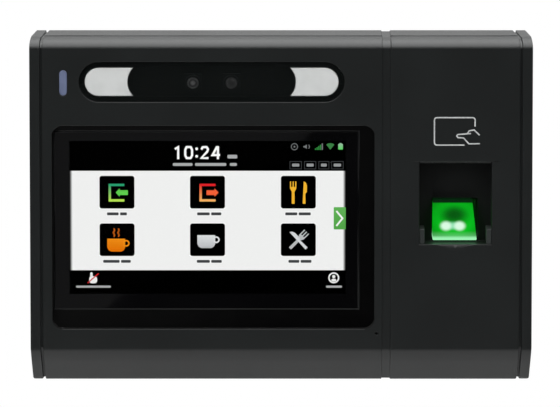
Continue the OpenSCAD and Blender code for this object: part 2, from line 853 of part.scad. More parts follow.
module main_rear_housing() {
    color([0.16, 0.17, 0.17])
    difference() {
        union() {
            rear_shell() {
                main_space(0);
                main_space(end_wall_t);
            }
            rear_columns(main_columns);
            block(-tab_w / 2 - foot_side - wall_t, tab_w / 2 + foot_side + wall_t,
                  -tab_d - foot_front - wall_t, wall_face_y, bottom_z, foot_floor_z + wall_t);
            rod_z(-foot_x, -foot_y, boss_r, foot_floor_z, foot_floor_z + insert_len + 4.6);
            for (p = port_posts_xz) rod_y(p[0], p[1], board_post_d / 2, board_back_y, inner_back_y + cut);
            block(usb_x - flap_w / 2 - 4, usb_x + flap_w / 2 + 4, flap_y - flap_d - 2, inner_back_y + cut,
                  bottom_z, flap_block_top);
        }
        column_bores(main_columns);
        hook_slots(-1);
        for (s = [-1, 1])
            rod_x(-body_w / 2, -end_x(cap_screw_y) + end_wall_t + cut, cap_screw_y, s * cap_screw_z,
                  hole_r);
        // notch for the foot tab, holes for the security screw and the tamper plunger
        block(-tab_w / 2 - foot_side, tab_w / 2 + foot_side, -tab_d - foot_front, back_y + cut,
              bottom_z - cut, foot_floor_z);
        rod_z(-foot_x, -foot_y, insert_r, foot_floor_z - cut, foot_floor_z + insert_len);
        rod_z(-foot_x, -foot_y, security_r + insert_clear, foot_floor_z, foot_floor_z + insert_len + 3.4);
        rod_z(foot_x, -foot_y, tamper_r + tamper_clear, foot_floor_z - cut, foot_floor_z + wall_t + cut);
        // cable bay and the passage to the reader module
        block(bay_x0, bay_x1, inner_back_y - cut, wall_face_y + cut, bay_z0, bay_z1);
        block(strip_x - end_wall_t - cut, strip_x + cut, board_y - socket_t - 1, board_back_y + 1,
              link_z - link_h / 2 - 3, link_z + link_h / 2 + 3);
        for (p = port_posts_xz) rod_y(p[0], p[1], hole_r, board_back_y - cut, board_back_y + 8);
        // pocket of the USB flap with the bores for its pins, and the opening over the port
        block(usb_x - flap_w / 2 - flap_clear, usb_x + flap_w / 2 + flap_clear,
              flap_y - flap_d - flap_clear, flap_y,
              bottom_z - cut, bottom_z + flap_t + flap_clear);
        rod_x(usb_x - flap_w / 2 - flap_clear, usb_x + flap_w / 2 + flap_clear, flap_y, flap_axis_z,
              knuckle_r + 0.7);
        rod_x(usb_x - flap_w / 2 - flap_pin_len - 0.2, usb_x + flap_w / 2 + flap_pin_len + 0.2,
              flap_y, flap_axis_z, flap_pin_r + flap_pin_clear);
        block(usb_x - usb_w / 2 - 0.4, usb_x + usb_w / 2 + 0.4, port_y - port_t / 2 - 0.4,
              port_y + port_t / 2 + 0.4,
              bottom_z, flap_block_top + cut);
        rod_z(reset_x, port_y, reset_r + 0.1, bottom_z - cut, bottom_z + wall_t + cut);
    }
}

module reader_rear_housing() {
    color([0.16, 0.17, 0.17])
    difference() {
        union() {
            rear_shell() {
                reader_space(0);
                reader_space(end_wall_t);
            }
            rear_columns(reader_columns);
            for (p = reader_posts_xz) rod_y(p[0], p[1], board_post_d / 2, board_back_y, inner_back_y + cut);
            rod_z(speaker_x, speaker_y, speaker_d / 2 + 0.2 + speaker_ring, bottom_z + wall_t - cut,
                  bottom_z + wall_t + 3);
        }
        column_bores(reader_columns);
        hook_slots(1);
        for (s = [-1, 1])
            rod_x(end_x(cap_screw_y) - end_wall_t - cut, body_w / 2, cap_screw_y, s * cap_screw_z, hole_r);
        block(strip_x + strip_w - cut, strip_x + strip_w + end_wall_t + cut, board_y - socket_t - 1,
              board_back_y + 1,
              link_z - link_h / 2 - 3, link_z + link_h / 2 + 3);
        for (p = reader_posts_xz) rod_y(p[0], p[1], hole_r, board_back_y - cut, board_back_y + 8);
        rod_z(speaker_x, speaker_y, speaker_d / 2 + 0.2, bottom_z + wall_t, bottom_z + wall_t + 3 + cut);
        rod_z(speaker_x, speaker_y, sound_hole_d / 2, bottom_z - cut, bottom_z + wall_t + cut);
        for (ring = [1, 2], i = [0:6 * ring - 1])
            rod_z(speaker_x + ring * hole_pitch * cos(i * 60 / ring),
                  speaker_y + ring * hole_pitch * sin(i * 60 / ring),
                  sound_hole_d / 2, bottom_z - cut, bottom_z + wall_t + cut);
    }
}

// Full-depth ring with the case's section, as long as the strip is wide
module joint_strip() {
    color([0.13, 0.14, 0.14])
    along_x(strip_x, strip_x + strip_w)
        difference() {
            polygon(case_outline(strip_sunk, back_y));
            polygon(case_outline(wall_t, back_y + cut));
        }
}

// End cap: a slab on the drafted side, hollow towards the housing, with a sunk flange that makes the groove
module end_cap() {
    difference() {
        union() {
            cap_slice(0, cap_t) polygon(case_outline(0, back_y));
            cap_slice(cap_t - cut, cap_t + groove_w) polygon(case_outline(groove_d, back_y));
        }
        difference() {
            cap_slice(cap_wall_t, cap_t + groove_w + cut) polygon(case_outline(wall_t,
                  back_y - cap_wall_t));
            for (s = [-1, 1])
                rod_x(-body_w / 2, cap_inner_x, cap_screw_y, s * cap_screw_z, cap_boss_d / 2);
        }
        for (s = [-1, 1])
            rod_x(-side_x(cap_screw_y) + cap_wall_t + 0.6, cap_inner_x, cap_screw_y, s * cap_screw_z,
                  hole_r);
    }
}

// The part of an outline between two distances inside the drafted left side
module cap_slice(d0, d1) {
    intersection() {
        along_x(-body_w / 2 - cut, cap_inner_x) children();
        translate([0, 0, bottom_z - cut])
            linear_extrude(body_h + 2 * cut)
                polygon([[-side_x(face_y - cut) + d0, face_y - cut], [-side_x(face_y - cut) + d1,
                      face_y - cut],
                         [-side_x(back_y + cut) + d1, back_y + cut], [-side_x(back_y + cut) + d0,
                               back_y + cut]]);
    }
}

module left_end_cap() {
    color([0.15, 0.16, 0.16]) end_cap();
}

module right_end_cap() {
    color([0.15, 0.16, 0.16]) mirror([1, 0, 0]) end_cap();
}

// One flat rubber ring between the front and rear shell of each module
module housing_seals() {
    color([0.05, 0.05, 0.05])
    for (span = [[-end_x(part_y), strip_x], [strip_x + strip_w, end_x(rear_y)]])
        difference() {
            block(span[0] + seal_inset, span[1] - seal_inset, part_y, rear_y,
                  bottom_z + seal_inset, top_z - seal_inset);
            block(span[0] + end_wall_t, span[1] - end_wall_t, part_y - cut, rear_y + cut,
                  bottom_z + wall_t, top_z - wall_t);
        }
}

module touch_glass() {
    color([0.05, 0.05, 0.05])
        block(glass_x - glass_w / 2, glass_x + glass_w / 2, floor_y - glass_proud,
              floor_y - glass_proud + glass_t,
              glass_z - glass_h / 2, glass_z + glass_h / 2);
}

module glass_gasket() {
    color([0.2, 0.2, 0.2])
    difference() {
        block(glass_x - glass_w / 2, glass_x + glass_w / 2,
              floor_y - glass_proud + glass_t, floor_y - glass_proud + glass_t + gasket_t,
              glass_z - glass_h / 2, glass_z + glass_h / 2);
        block(glass_x - glass_w / 2 + gasket_w, glass_x + glass_w / 2 - gasket_w, floor_y, floor_back_y,
              glass_z - glass_h / 2 + gasket_w, glass_z + glass_h / 2 - gasket_w);
    }
}

module lcd_cell() {
    color([0.85, 0.85, 0.85])
        block(lcd_x0 + lcd_wall_t, lcd_x1 - lcd_wall_t, floor_back_y, floor_back_y + cell_t,
              lcd_z0 + lcd_wall_t, lcd_z1 - lcd_wall_t);
}

module lcd_frame() {
    color([0.7, 0.7, 0.72])
    difference() {
        block(lcd_x0, lcd_x1, floor_back_y, bracket_y, lcd_z0, lcd_z1);
        block(lcd_x0 + lcd_wall_t, lcd_x1 - lcd_wall_t, floor_back_y - cut, floor_back_y + cell_t,
              lcd_z0 + lcd_wall_t, lcd_z1 - lcd_wall_t);
    }
}

// Steel sheet behind the display, with press-in posts for the main board
module display_bracket() {
    color([0.75, 0.76, 0.78])
    difference() {
        union() {
            block(lcd_x0, lcd_x1, bracket_y, bracket_y + bracket_t, bracket_z0, bracket_z1);
            for (p = board_screws_xz) rod_y(p[0], p[1], board_post_d / 2, bracket_y, board_y);
        }
        for (p = board_screws_xz) rod_y(p[0], p[1], hole_r, bracket_y - cut, board_y + cut);
        for (p = bracket_screws_xz) rod_y(p[0], p[1], hole_r, bracket_y - cut, bracket_y + bracket_t + cut);
        block(ribbon_x - ribbon_w / 2 - ribbon_slot, ribbon_x + ribbon_w / 2 + ribbon_slot,
              bracket_y - cut, bracket_y + bracket_t + cut, ribbon_z - ribbon_slot, ribbon_z + ribbon_slot);
    }
}

// Outline of a lamp diffuser: round at its outer end, hollow at its inner end
module lamp_shape(grow) {
    difference() {
        union() {
            circle(r = lamp_h / 2 + grow);
            translate([0, -lamp_h / 2 - grow]) square([lamp_len - lamp_h / 2 + grow, lamp_h + 2 * grow]);
        }
        translate([lamp_len - lamp_h / 2 - lamp_hollow_d + lamp_hollow_r, 0])
            circle(r = lamp_hollow_r - grow);
    }
}

// Places its children at the two ends of the camera window, the second one mirrored
module at_lamps() {
    for (s = [-1, 1])
        translate([window_x + s * (window_w - window_h) / 2, 0, window_z])
            mirror([s > 0 ? 1 : 0, 0, 0]) children();
}

module camera_window() {
    color([0.1, 0.12, 0.12])
    difference() {
        translate([window_x, 0, window_z]) along_y(window_y, window_back_y) stadium(window_w, window_h);
        at_lamps() along_y(window_y - cut, window_back_y + cut) lamp_shape(lamp_clear);
    }
}

module lamp_diffusers() {
    color([0.85, 0.86, 0.86])
    at_lamps() {
        along_y(window_y, window_back_y) lamp_shape(0);
        along_y(window_back_y, window_back_y + lamp_flange_t) lamp_shape(lamp_flange_w);
    }
}

module camera_board() {
    color([0.05, 0.3, 0.15])
    difference() {
        block(camera_board_x0, camera_board_x1, camera_board_y, camera_board_y + board_t,
              window_z - camera_board_h / 2, window_z + camera_board_h / 2);
        for (p = camera_posts_xz)
            rod_y(p[0], p[1], small_r + screw_clear, camera_board_y - cut, camera_board_y + board_t + cut);
    }
}

module camera_modules() {
    color([0.1, 0.1, 0.1])
    for (x = cameras_x)
        difference() {
            union() {
                block(x - camera_base / 2, x + camera_base / 2, camera_board_y - 2, camera_board_y,
                      camera_z - camera_base / 2, camera_z + camera_base / 2);
                rod_y(x, camera_z, barrel_d / 2, window_back_y + 0.3, camera_board_y - 2 + cut);
            }
            rod_y(x, camera_z, lens_d / 2, window_back_y, window_back_y + 0.3 + 1.5);
        }
}

module camera_lenses() {
    color([0.3, 0.32, 0.36])
    for (x = cameras_x) rod_y(x, camera_z, lens_d / 2, window_back_y + 0.4, window_back_y + 0.3 + 1.5);
}

module lamp_leds() {
    color([0.95, 0.9, 0.6])
    at_lamps()
        for (i = [0:2], s = [-1, 1])
            block(i * 6 - 4, i * 6 - 1, camera_board_y - chip_t, camera_board_y, s * 3.5 - 1.4,
                  s * 3.5 + 1.4);
}

module status_light_pipe() {
    color([0.55, 0.6, 0.75])
    translate([light_x, 0, light_z]) {
        along_y(face_y, camera_board_y - chip_t - 0.4) stadium(light_w, light_h);
        along_y(inner_face_y, inner_face_y + 1) stadium(light_w + 2.4, light_h + 2.4);
    }
}

module status_led() {
    color([0.95, 0.95, 0.9])
        block(light_x - 1.5, light_x + 1.5, camera_board_y - chip_t, camera_board_y, light_z - 1.4,
              light_z + 1.4);
}

module main_board() {
    color([0.05, 0.3, 0.15])
    difference() {
        block(board_x, board_x + board_w, board_y, board_back_y, board_z, board_z + board_h);
        for (p = board_screws_xz) rod_y(p[0], p[1], hole_r, board_y - cut, board_back_y + cut);
    }
}

module processor_shield() {
    color([0.8, 0.8, 0.82])
    difference() {
        block(shield_x, shield_x + shield_w, board_back_y, board_back_y + shield_t, shield_z,
              shield_z + shield_w);
        block(shield_x + shield_wall_t, shield_x + shield_w - shield_wall_t,
              board_back_y - cut, board_back_y + shield_t - shield_wall_t,
              shield_z + shield_wall_t, shield_z + shield_w - shield_wall_t);
    }
}

module board_chips() {
    color([0.08, 0.08, 0.08]) {
        block(shield_x + processor_in, shield_x + processor_in + processor_w,
              board_back_y, board_back_y + processor_t, shield_z + processor_in,
                    shield_z + processor_in + processor_w);
        for (i = [0:2])
            block(memory_x, memory_x + memory_w, board_back_y, board_back_y + memory_t,
                  memory_z + memory_pitch * i, memory_z + memory_pitch * i + memory_h);
        for (i = [0:1])
            block(driver_x + driver_pitch * i, driver_x + driver_pitch * i + driver_w,
                  board_back_y, board_back_y + memory_t, driver_z, driver_z + driver_w);
    }
}

module coin_cell_holder() {
    color([0.12, 0.12, 0.12])
    difference() {
        rod_y(coin_x, coin_z, coin_r + coin_clear + coin_wall_t, board_back_y, coin_back_y + coin_lip);
        rod_y(coin_x, coin_z, coin_r + coin_clear, board_back_y + coin_floor_t,
              coin_back_y + coin_lip + cut);
    }
}

module coin_cell() {
    color([0.8, 0.8, 0.8]) rod_y(coin_x, coin_z, coin_r, board_back_y + coin_floor_t, coin_back_y);
}

// Network jack: a shielded shell with its socket at the lower end
module network_jack() {
    color([0.75, 0.75, 0.77])
    difference() {
        block(jack_x, jack_x + jack_w, board_back_y, board_back_y + jack_h, board_z, board_z + jack_len);
        block(jack_x + jack_wall_x, jack_x + jack_w - jack_wall_x,
              board_back_y + jack_wall_y, board_back_y + jack_h - jack_wall_y,
              board_z - cut, board_z + jack_len - jack_back);
    }
}

module power_jack() {
    x = power_x + power_w / 2;
    y = board_back_y + (power_w + power_wall) / 2;
    color([0.08, 0.08, 0.08])
    difference() {
        block(power_x, power_x + power_w, board_back_y, board_back_y + power_w + power_wall, board_z,
              board_z + power_len);
        difference() {
            rod_z(x, y, power_d / 2, board_z - cut, board_z + power_len - power_back);
            rod_z(x, y, power_pin_r, board_z + power_mouth, board_z + power_len);
        }
    }
}

module wiring_sockets() {
    color([0.9, 0.88, 0.8])
    for (i = [0:socket_count - 1])
        translate([sockets_x + plug_pitch * i, 0, 0])
            difference() {
                block(0, plug_w, board_back_y, board_back_y + plug_h, board_z, board_z + plug_len);
                block(plug_wall_t, plug_w - plug_wall_t, board_back_y + plug_wall_t,
                      board_back_y + plug_h - plug_wall_t,
                      board_z - cut, board_z + plug_len - plug_back);
            }
}

// Flat-cable sockets on the boards
module ribbon_sockets() {
    color([0.85, 0.83, 0.75]) {
        block(ribbon_x - ribbon_w / 2 - ribbon_end, ribbon_x + ribbon_w / 2 + ribbon_end,
              board_y - socket_t, board_y,
              ribbon_z - ribbon_slot, ribbon_z + ribbon_slot);
        for (side = [[board_y - socket_t, board_y, camera_ribbon_z],
                     [camera_board_y + board_t, camera_board_y + board_t + camera_socket_t,
                           camera_socket_z]])
            block(camera_ribbon_x - camera_ribbon_w / 2 - ribbon_end,
                  camera_ribbon_x + camera_ribbon_w / 2 + ribbon_end,
                  side[0], side[1], side[2] - ribbon_slot, side[2] + ribbon_slot);
        for (x = [board_x + board_w - link_end, reader_board_x0])
            block(x, x + link_end, board_y - socket_t, board_y,
                  link_z - link_h / 2 - ribbon_end, link_z + link_h / 2 + ribbon_end);
    }
}

module display_ribbon() {
    color([0.8, 0.5, 0.15])
        block(ribbon_x - ribbon_w / 2, ribbon_x + ribbon_w / 2, bracket_y, board_y - socket_t,
              ribbon_z - ribbon_t / 2, ribbon_z + ribbon_t / 2);
}

// Ribbon from the camera board down to the top of the main board
module camera_ribbon() {
    y0 = camera_board_y + board_t + camera_socket_t;
    y1 = board_y - socket_t;
    ym = (y0 + y1) / 2;
    t = ribbon_t;
    color([0.8, 0.5, 0.15])
    along_x(camera_ribbon_x - camera_ribbon_w / 2, camera_ribbon_x + camera_ribbon_w / 2)
        polygon([[y0, camera_socket_z - t / 2], [ym - t / 2, camera_socket_z - t / 2],
                 [ym - t / 2, camera_ribbon_z - t / 2], [y1, camera_ribbon_z - t / 2],
                 [y1, camera_ribbon_z + t / 2], [ym + t / 2, camera_ribbon_z + t / 2],
                 [ym + t / 2, camera_socket_z + t / 2], [y0, camera_socket_z + t / 2]]);
}

module link_ribbon() {
    color([0.75, 0.75, 0.78])
        block(board_x + board_w, reader_board_x0, link_y - link_t / 2, link_y + link_t / 2,
              link_z - link_h / 2, link_z + link_h / 2);
}

module microphone_boot() {
    color([0.1, 0.1, 0.1])
    difference() {
        block(mic_x - mic_off - boot_w / 2, mic_x - mic_off + boot_w / 2, floor_back_y,
              floor_back_y + boot_t,
              mic_z - boot_w / 2, mic_z + boot_w / 2);
        rod_y(mic_x, mic_z, mic_hole_r, floor_back_y - cut, floor_back_y + boot_t + cut);
        rod_y(mic_x - mic_off, mic_z, mic_r, floor_back_y + 1, floor_back_y + boot_t + cut);
    }
}

module microphone() {
    color([0.7, 0.7, 0.7]) rod_y(mic_x - mic_off, mic_z, mic_r, floor_back_y + 1, floor_back_y + boot_t);
}

module antenna_board() {
    color([0.05, 0.3, 0.15])
    difference() {
        block(finger_x - antenna_w / 2, finger_x + antenna_w / 2, antenna_y, antenna_y + antenna_board_t,
              antenna_z, antenna_z + antenna_h);
        for (p = antenna_posts_xz)
            rod_y(p[0], p[1], stake_r + screw_clear, antenna_y - cut, antenna_y + antenna_board_t + cut);
    }
}

// Three copper turns printed on the back of the antenna board
module antenna_coil() {
    color([0.8, 0.5, 0.3])
    for (i = [0:2])
        difference() {
            block(finger_x - antenna_w / 2 + 6 + 2 * i, finger_x + antenna_w / 2 - 6 - 2 * i,
                  antenna_y + antenna_board_t, antenna_y + antenna_board_t + coil_t,
                  antenna_z + 6 + 2 * i, antenna_z + antenna_h - 6 - 2 * i);
            block(finger_x - antenna_w / 2 + 7 + 2 * i, finger_x + antenna_w / 2 - 7 - 2 * i,
                  antenna_y, antenna_y + antenna_board_t + coil_t + cut,
                  antenna_z + 7 + 2 * i, antenna_z + antenna_h - 7 - 2 * i);
        }
}

module reader_board() {
    color([0.05, 0.3, 0.15])
    difference() {
        block(reader_board_x0, reader_board_x0 + reader_board_w, board_y, board_back_y,
              reader_board_z0, reader_board_z0 + reader_board_h);
        for (p = reader_posts_xz) rod_y(p[0], p[1], hole_r, board_y - cut, board_back_y + cut);
    }
}

// Dark tub behind the finger opening, with two cheeks that stand beside the finger
module finger_well() {
    color([0.07, 0.08, 0.08])
    difference() {
        union() {
            block(finger_x - finger_w / 2 - well_t, finger_x + finger_w / 2 + well_t, rim_back_y,
                  well_back_y,
                  finger_bottom - well_t, finger_top + well_t);
            block(finger_x - finger_w / 2 - well_flange_w, finger_x + finger_w / 2 + well_flange_w,
                  rim_back_y, rim_back_y + well_t, finger_bottom - well_t, finger_top + well_t);
        }
        difference() {
            block(finger_x - finger_w / 2, finger_x + finger_w / 2, rim_back_y - cut, well_floor_y,
                  finger_bottom, finger_top);
            for (s = [-1, 1]) cheek(s, 0);
        }
        block(finger_x - prism_w / 2 - prism_clear, finger_x + prism_w / 2 + prism_clear,
              well_floor_y - cut, well_back_y + cut,
              prism_z0 - prism_clear, prism_z1 + prism_clear);
        for (p = well_screws_xz) rod_y(p[0], p[1], hole_r, rim_back_y - cut, rim_back_y + well_t + cut);
    }
    color([0.3, 0.31, 0.31])
        for (s = [-1, 1]) cheek(s, cheek_clear);
}

// One cheek at a lower corner of the opening, from near the face to the well's floor
module cheek(s, clear) {
    x = finger_x + s * (finger_w / 2 - clear - cheek_w / 2);
    block(x - cheek_w / 2, x + cheek_w / 2, face_y + prism_sunk, well_floor_y,
          finger_bottom + clear, finger_bottom + clear + cheek_h);
}

// Clear wedge whose leaning front is the sensor window
module sensor_prism() {
    color([0.1, 0.8, 0.25])
    intersection() {
        along_x(finger_x - prism_w / 2, finger_x + prism_w / 2)
            polygon([[prism_y, prism_z0], [prism_top_y, prism_z1], [prism_back_y, prism_z1],
                  [prism_back_y, prism_z0]]);
        along_y(prism_y - cut, prism_back_y + cut)
            polygon([[finger_x - prism_w / 2, prism_z0], [finger_x + prism_w / 2, prism_z0],
                     [finger_x + (prism_w - prism_taper) / 2, prism_z1],
                           [finger_x - (prism_w - prism_taper) / 2, prism_z1]]);
    }
}

// Box behind the well that holds the prism, its lamps and its imager
module sensor_housing() {
    color([0.1, 0.1, 0.1])
    difference() {
        block(finger_x - prism_w / 2 - sensor_wall, finger_x + prism_w / 2 + sensor_wall, well_back_y,
              sensor_back_y,
              sensor_z0, sensor_z1);
        block(finger_x - prism_w / 2 - prism_clear, finger_x + prism_w / 2 + prism_clear,
              well_back_y - cut, prism_back_y,
              prism_z0 - prism_clear, prism_z1 + prism_clear);
        block(finger_x - prism_w / 2 + sensor_ledge, finger_x + prism_w / 2 - sensor_ledge,
              prism_back_y - cut, sensor_back_y + cut, prism_z0 + sensor_ledge, prism_z1 - sensor_ledge);
        for (p = sensor_screws_xz)
            rod_y(p[0], p[1], small_r + screw_clear, sensor_back_y - 5, sensor_back_y + cut);
    }
}

module sensor_board() {
    color([0.05, 0.3, 0.15])
    difference() {
        block(finger_x - prism_w / 2 - sensor_wall, finger_x + prism_w / 2 + sensor_wall,
              sensor_back_y, sensor_back_y + board_t, sensor_z0, sensor_z1);
        for (p = sensor_screws_xz)
            rod_y(p[0], p[1], small_r + screw_clear, sensor_back_y - cut, sensor_back_y + board_t + cut);
    }
}

module sensor_leds() {
    color([0.2, 0.9, 0.3])
    for (sx = [-1, 1], sz = [-1, 1])
        block(finger_x + sx * 8 - 1.5, finger_x + sx * 8 + 1.5, sensor_back_y - chip_t, sensor_back_y,
              (prism_z0 + prism_z1) / 2 + sz * 7 - 1.4, (prism_z0 + prism_z1) / 2 + sz * 7 + 1.4);
}

module sensor_imager() {
    color([0.15, 0.15, 0.17]) {
        block(finger_x - 4.5, finger_x + 4.5, sensor_back_y - 1.5, sensor_back_y,
              (prism_z0 + prism_z1) / 2 - 4.5, (prism_z0 + prism_z1) / 2 + 4.5);
        rod_y(finger_x, (prism_z0 + prism_z1) / 2, 3.4, sensor_back_y - 4.5, sensor_back_y - 1.5);
    }
}

module speaker() {
    color([0.2, 0.2, 0.22]) {
        rod_z(speaker_x, speaker_y, speaker_d / 2, bottom_z + wall_t, bottom_z + wall_t + 2.2);
        rod_z(speaker_x, speaker_y, speaker_d / 2 - 3, bottom_z + wall_t + 2.2, bottom_z + wall_t + 5);
    }
}

module port_board() {
    color([0.05, 0.3, 0.15])
    difference() {
        block(port_board_x0, port_board_x1, board_y, board_back_y, port_board_z0, port_board_z1);
        for (p = port_posts_xz) rod_y(p[0], p[1], hole_r, board_y - cut, board_back_y + cut);
    }
}

module usb_port() {
    color([0.75, 0.75, 0.77])
    difference() {
        block(usb_x - usb_w / 2, usb_x + usb_w / 2, port_y - port_t / 2, port_y + port_t / 2,
              usb_mouth_z, usb_mouth_z + usb_len);
        difference() {
            block(usb_x - usb_w / 2 + usb_shell_t, usb_x + usb_w / 2 - usb_shell_t,
                  port_y - port_t / 2 + usb_shell_t, port_y + port_t / 2 - usb_shell_t,
                  usb_mouth_z - cut, usb_mouth_z + usb_len - usb_back);
            block(usb_x - usb_w / 2 + usb_tongue_in, usb_x + usb_w / 2 - usb_tongue_in,
                  port_y, port_y + usb_tongue_t, usb_mouth_z, usb_mouth_z + usb_len);
        }
    }
}

module reset_switch() {
    color([0.2, 0.2, 0.2]) {
        block(reset_x - 3, reset_x + 3, port_y - port_t / 2, port_y + port_t / 2, reset_nub_z + 1.2,
              reset_nub_z + 5.2);
        rod_z(reset_x, port_y, 1.5, reset_nub_z, reset_nub_z + 1.2);
    }
}

module reset_button() {
    flange_z = bottom_z + wall_t + reset_gap;
    color([0.35, 0.35, 0.36]) {
        rod_z(reset_x, port_y, reset_r, bottom_z + 0.2, flange_z);
        rod_z(reset_x, port_y, reset_r + reset_flange, flange_z, flange_z + 0.8);
        rod_z(reset_x, port_y, 1.2, flange_z + 0.8, flange_z + 2);
    }
}

// Flap with a knuckle along its rear edge and a pin at each end of it
module usb_flap() {
    color([0.12, 0.12, 0.13]) {
        block(usb_x - flap_w / 2, usb_x + flap_w / 2, flap_y - flap_d, flap_y, bottom_z, bottom_z + flap_t);
        rod_x(usb_x - flap_w / 2, usb_x + flap_w / 2, flap_y, flap_axis_z, knuckle_r);
        rod_x(usb_x - flap_w / 2 - flap_pin_len, usb_x + flap_w / 2 + flap_pin_len, flap_y, flap_axis_z,
              flap_pin_r);
    }
}

module tamper_switch() {
    color([0.1, 0.1, 0.12])
    difference() {
        block(foot_x - 5, foot_x + 5, -foot_y - 3, inner_back_y, tamper_switch_z, tamper_switch_z + 6.4);
        rod_z(foot_x, -foot_y, tamper_r + tamper_clear, tamper_switch_z - cut, tamper_switch_z + 3.4);
    }
}

module tamper_plunger() {
    collar_z = foot_floor_z + wall_t + tamper_out + 0.2;
    color([0.85, 0.85, 0.8]) {
        rod_z(foot_x, -foot_y, tamper_r, foot_top_z + 0.05, tamper_switch_z + 2.8);
        rod_z(foot_x, -foot_y, tamper_r + 1.3, collar_z, collar_z + 1);
    }
}

module screw_insert() {
    color([0.8, 0.65, 0.3])
    difference() {
        rod_z(-foot_x, -foot_y, insert_r, foot_floor_z, foot_floor_z + insert_len);
        rod_z(-foot_x, -foot_y, security_r + insert_clear, foot_floor_z - cut,
              foot_floor_z + insert_len + cut);
    }
}

module security_screw() {
    color([0.7, 0.7, 0.72])
        translate([-foot_x, -foot_y, foot_low_z])
            screw(security_len, security_r, security_head_r, security_head_h);
}

// Steel plate on the wall: hooks for the case, screw holes, cable opening and the foot tab
module wall_plate() {
    color([0.8, 0.81, 0.83])
    difference() {
        union() {
            block(-plate_w / 2, plate_w / 2, -plate_t, 0, -plate_h / 2, plate_h / 2);
            for (p = hooks_xz) {
                block(p[0] - hook_w / 2, p[0] + hook_w / 2, hook_y - plate_t, -plate_t, p[1] - plate_t,
                      p[1]);
                block(p[0] - hook_w / 2, p[0] + hook_w / 2, hook_y - plate_t, hook_y, p[1] - plate_t,
                      p[1] + hook_up);
            }
            block(-tab_w / 2, tab_w / 2, -plate_t, 0, foot_low_z, -plate_h / 2 + cut);
            block(-tab_w / 2, tab_w / 2, -tab_d, 0, foot_low_z, foot_top_z);
        }
        for (sx = [-1, 1], sz = [-1, 1])
            rod_y(sx * wall_screw_dx / 2, sz * wall_screw_dz / 2, wall_screw_d / 2, -plate_t - cut, cut);
        for (s = [-1, 1]) rod_y(s * box_screw_dx / 2, box_screw_z, box_screw_d / 2, -plate_t - cut, cut);
        block(cable_x - cable_w / 2, cable_x + cable_w / 2, -plate_t - cut, cut, cable_top - cable_h,
              cable_top);
        rod_z(-foot_x, -foot_y, security_r + 0.25, foot_low_z - cut, foot_top_z + cut);
    }
}

// Screws from the back of the case into the front covers
module housing_screws() {
    color([0.6, 0.6, 0.62])
    for (p = concat(main_columns, reader_columns))
        screw_to_face(p[0], p[1], wall_face_y - head_h - 0.2, housing_screw_len);
}

module board_screws() {
    color([0.7, 0.7, 0.72]) {
        for (p = board_screws_xz) screw_to_face(p[0], p[1], board_back_y, 6);
        for (p = bracket_screws_xz) screw_to_face(p[0], p[1], bracket_y + bracket_t, 6);
        for (p = concat(reader_posts_xz, port_posts_xz)) screw_to_wall(p[0], p[1], board_y, 8);
    }
}

module sensor_screws() {
    color([0.7, 0.7, 0.72]) {
        for (p = well_screws_xz) screw_to_face(p[0], p[1], rim_back_y + well_t, 4.6);
        for (p = sensor_screws_xz)
            translate([p[0], sensor_back_y + board_t, p[1]]) rotate([90, 0, 0]) screw(6, small_r,
                  small_head_r, small_head_h);
        for (p = camera_posts_xz)
            translate([p[0], camera_board_y + board_t, p[1]]) rotate([90, 0, 0]) screw(5, small_r,
                  small_head_r, small_head_h);
    }
}

// Screws from inside the housings into the end caps
module cap_screws() {
    color([0.7, 0.7, 0.72])
    for (side = [-1, 1], s = [-1, 1])
        translate([side * (end_x(cap_screw_y) - end_wall_t - cap_head_gap), cap_screw_y, s * cap_screw_z])
            rotate([0, side * 90, 0]) screw(cap_screw_len, screw_r, head_d / 2, head_h);
}

wall_plate();
security_screw();
main_rear_housing();
main_front_cover();
reader_rear_housing();
reader_front_cover();
joint_strip();
left_end_cap();
right_end_cap();
housing_seals();
touch_glass();
glass_gasket();
lcd_cell();
lcd_frame();
display_bracket();
camera_window();
lamp_diffusers();
camera_board();
camera_modules();
camera_lenses();
lamp_leds();
status_light_pipe();
status_led();
main_board();
processor_shield();
board_chips();
coin_cell_holder();
coin_cell();
network_jack();
power_jack();
wiring_sockets();
ribbon_sockets();
display_ribbon();
camera_ribbon();
link_ribbon();
microphone();
microphone_boot();
antenna_board();
antenna_coil();
reader_board();
finger_well();
sensor_prism();
sensor_housing();
sensor_board();
sensor_leds();
sensor_imager();
speaker();
port_board();
usb_port();
reset_switch();
reset_button();
usb_flap();
tamper_switch();
tamper_plunger();
screw_insert();
housing_screws();
board_screws();
sensor_screws();
cap_screws();
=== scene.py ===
import math
import bmesh
import bpy
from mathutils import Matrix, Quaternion, Vector
from mathutils.bvhtree import BVHTree


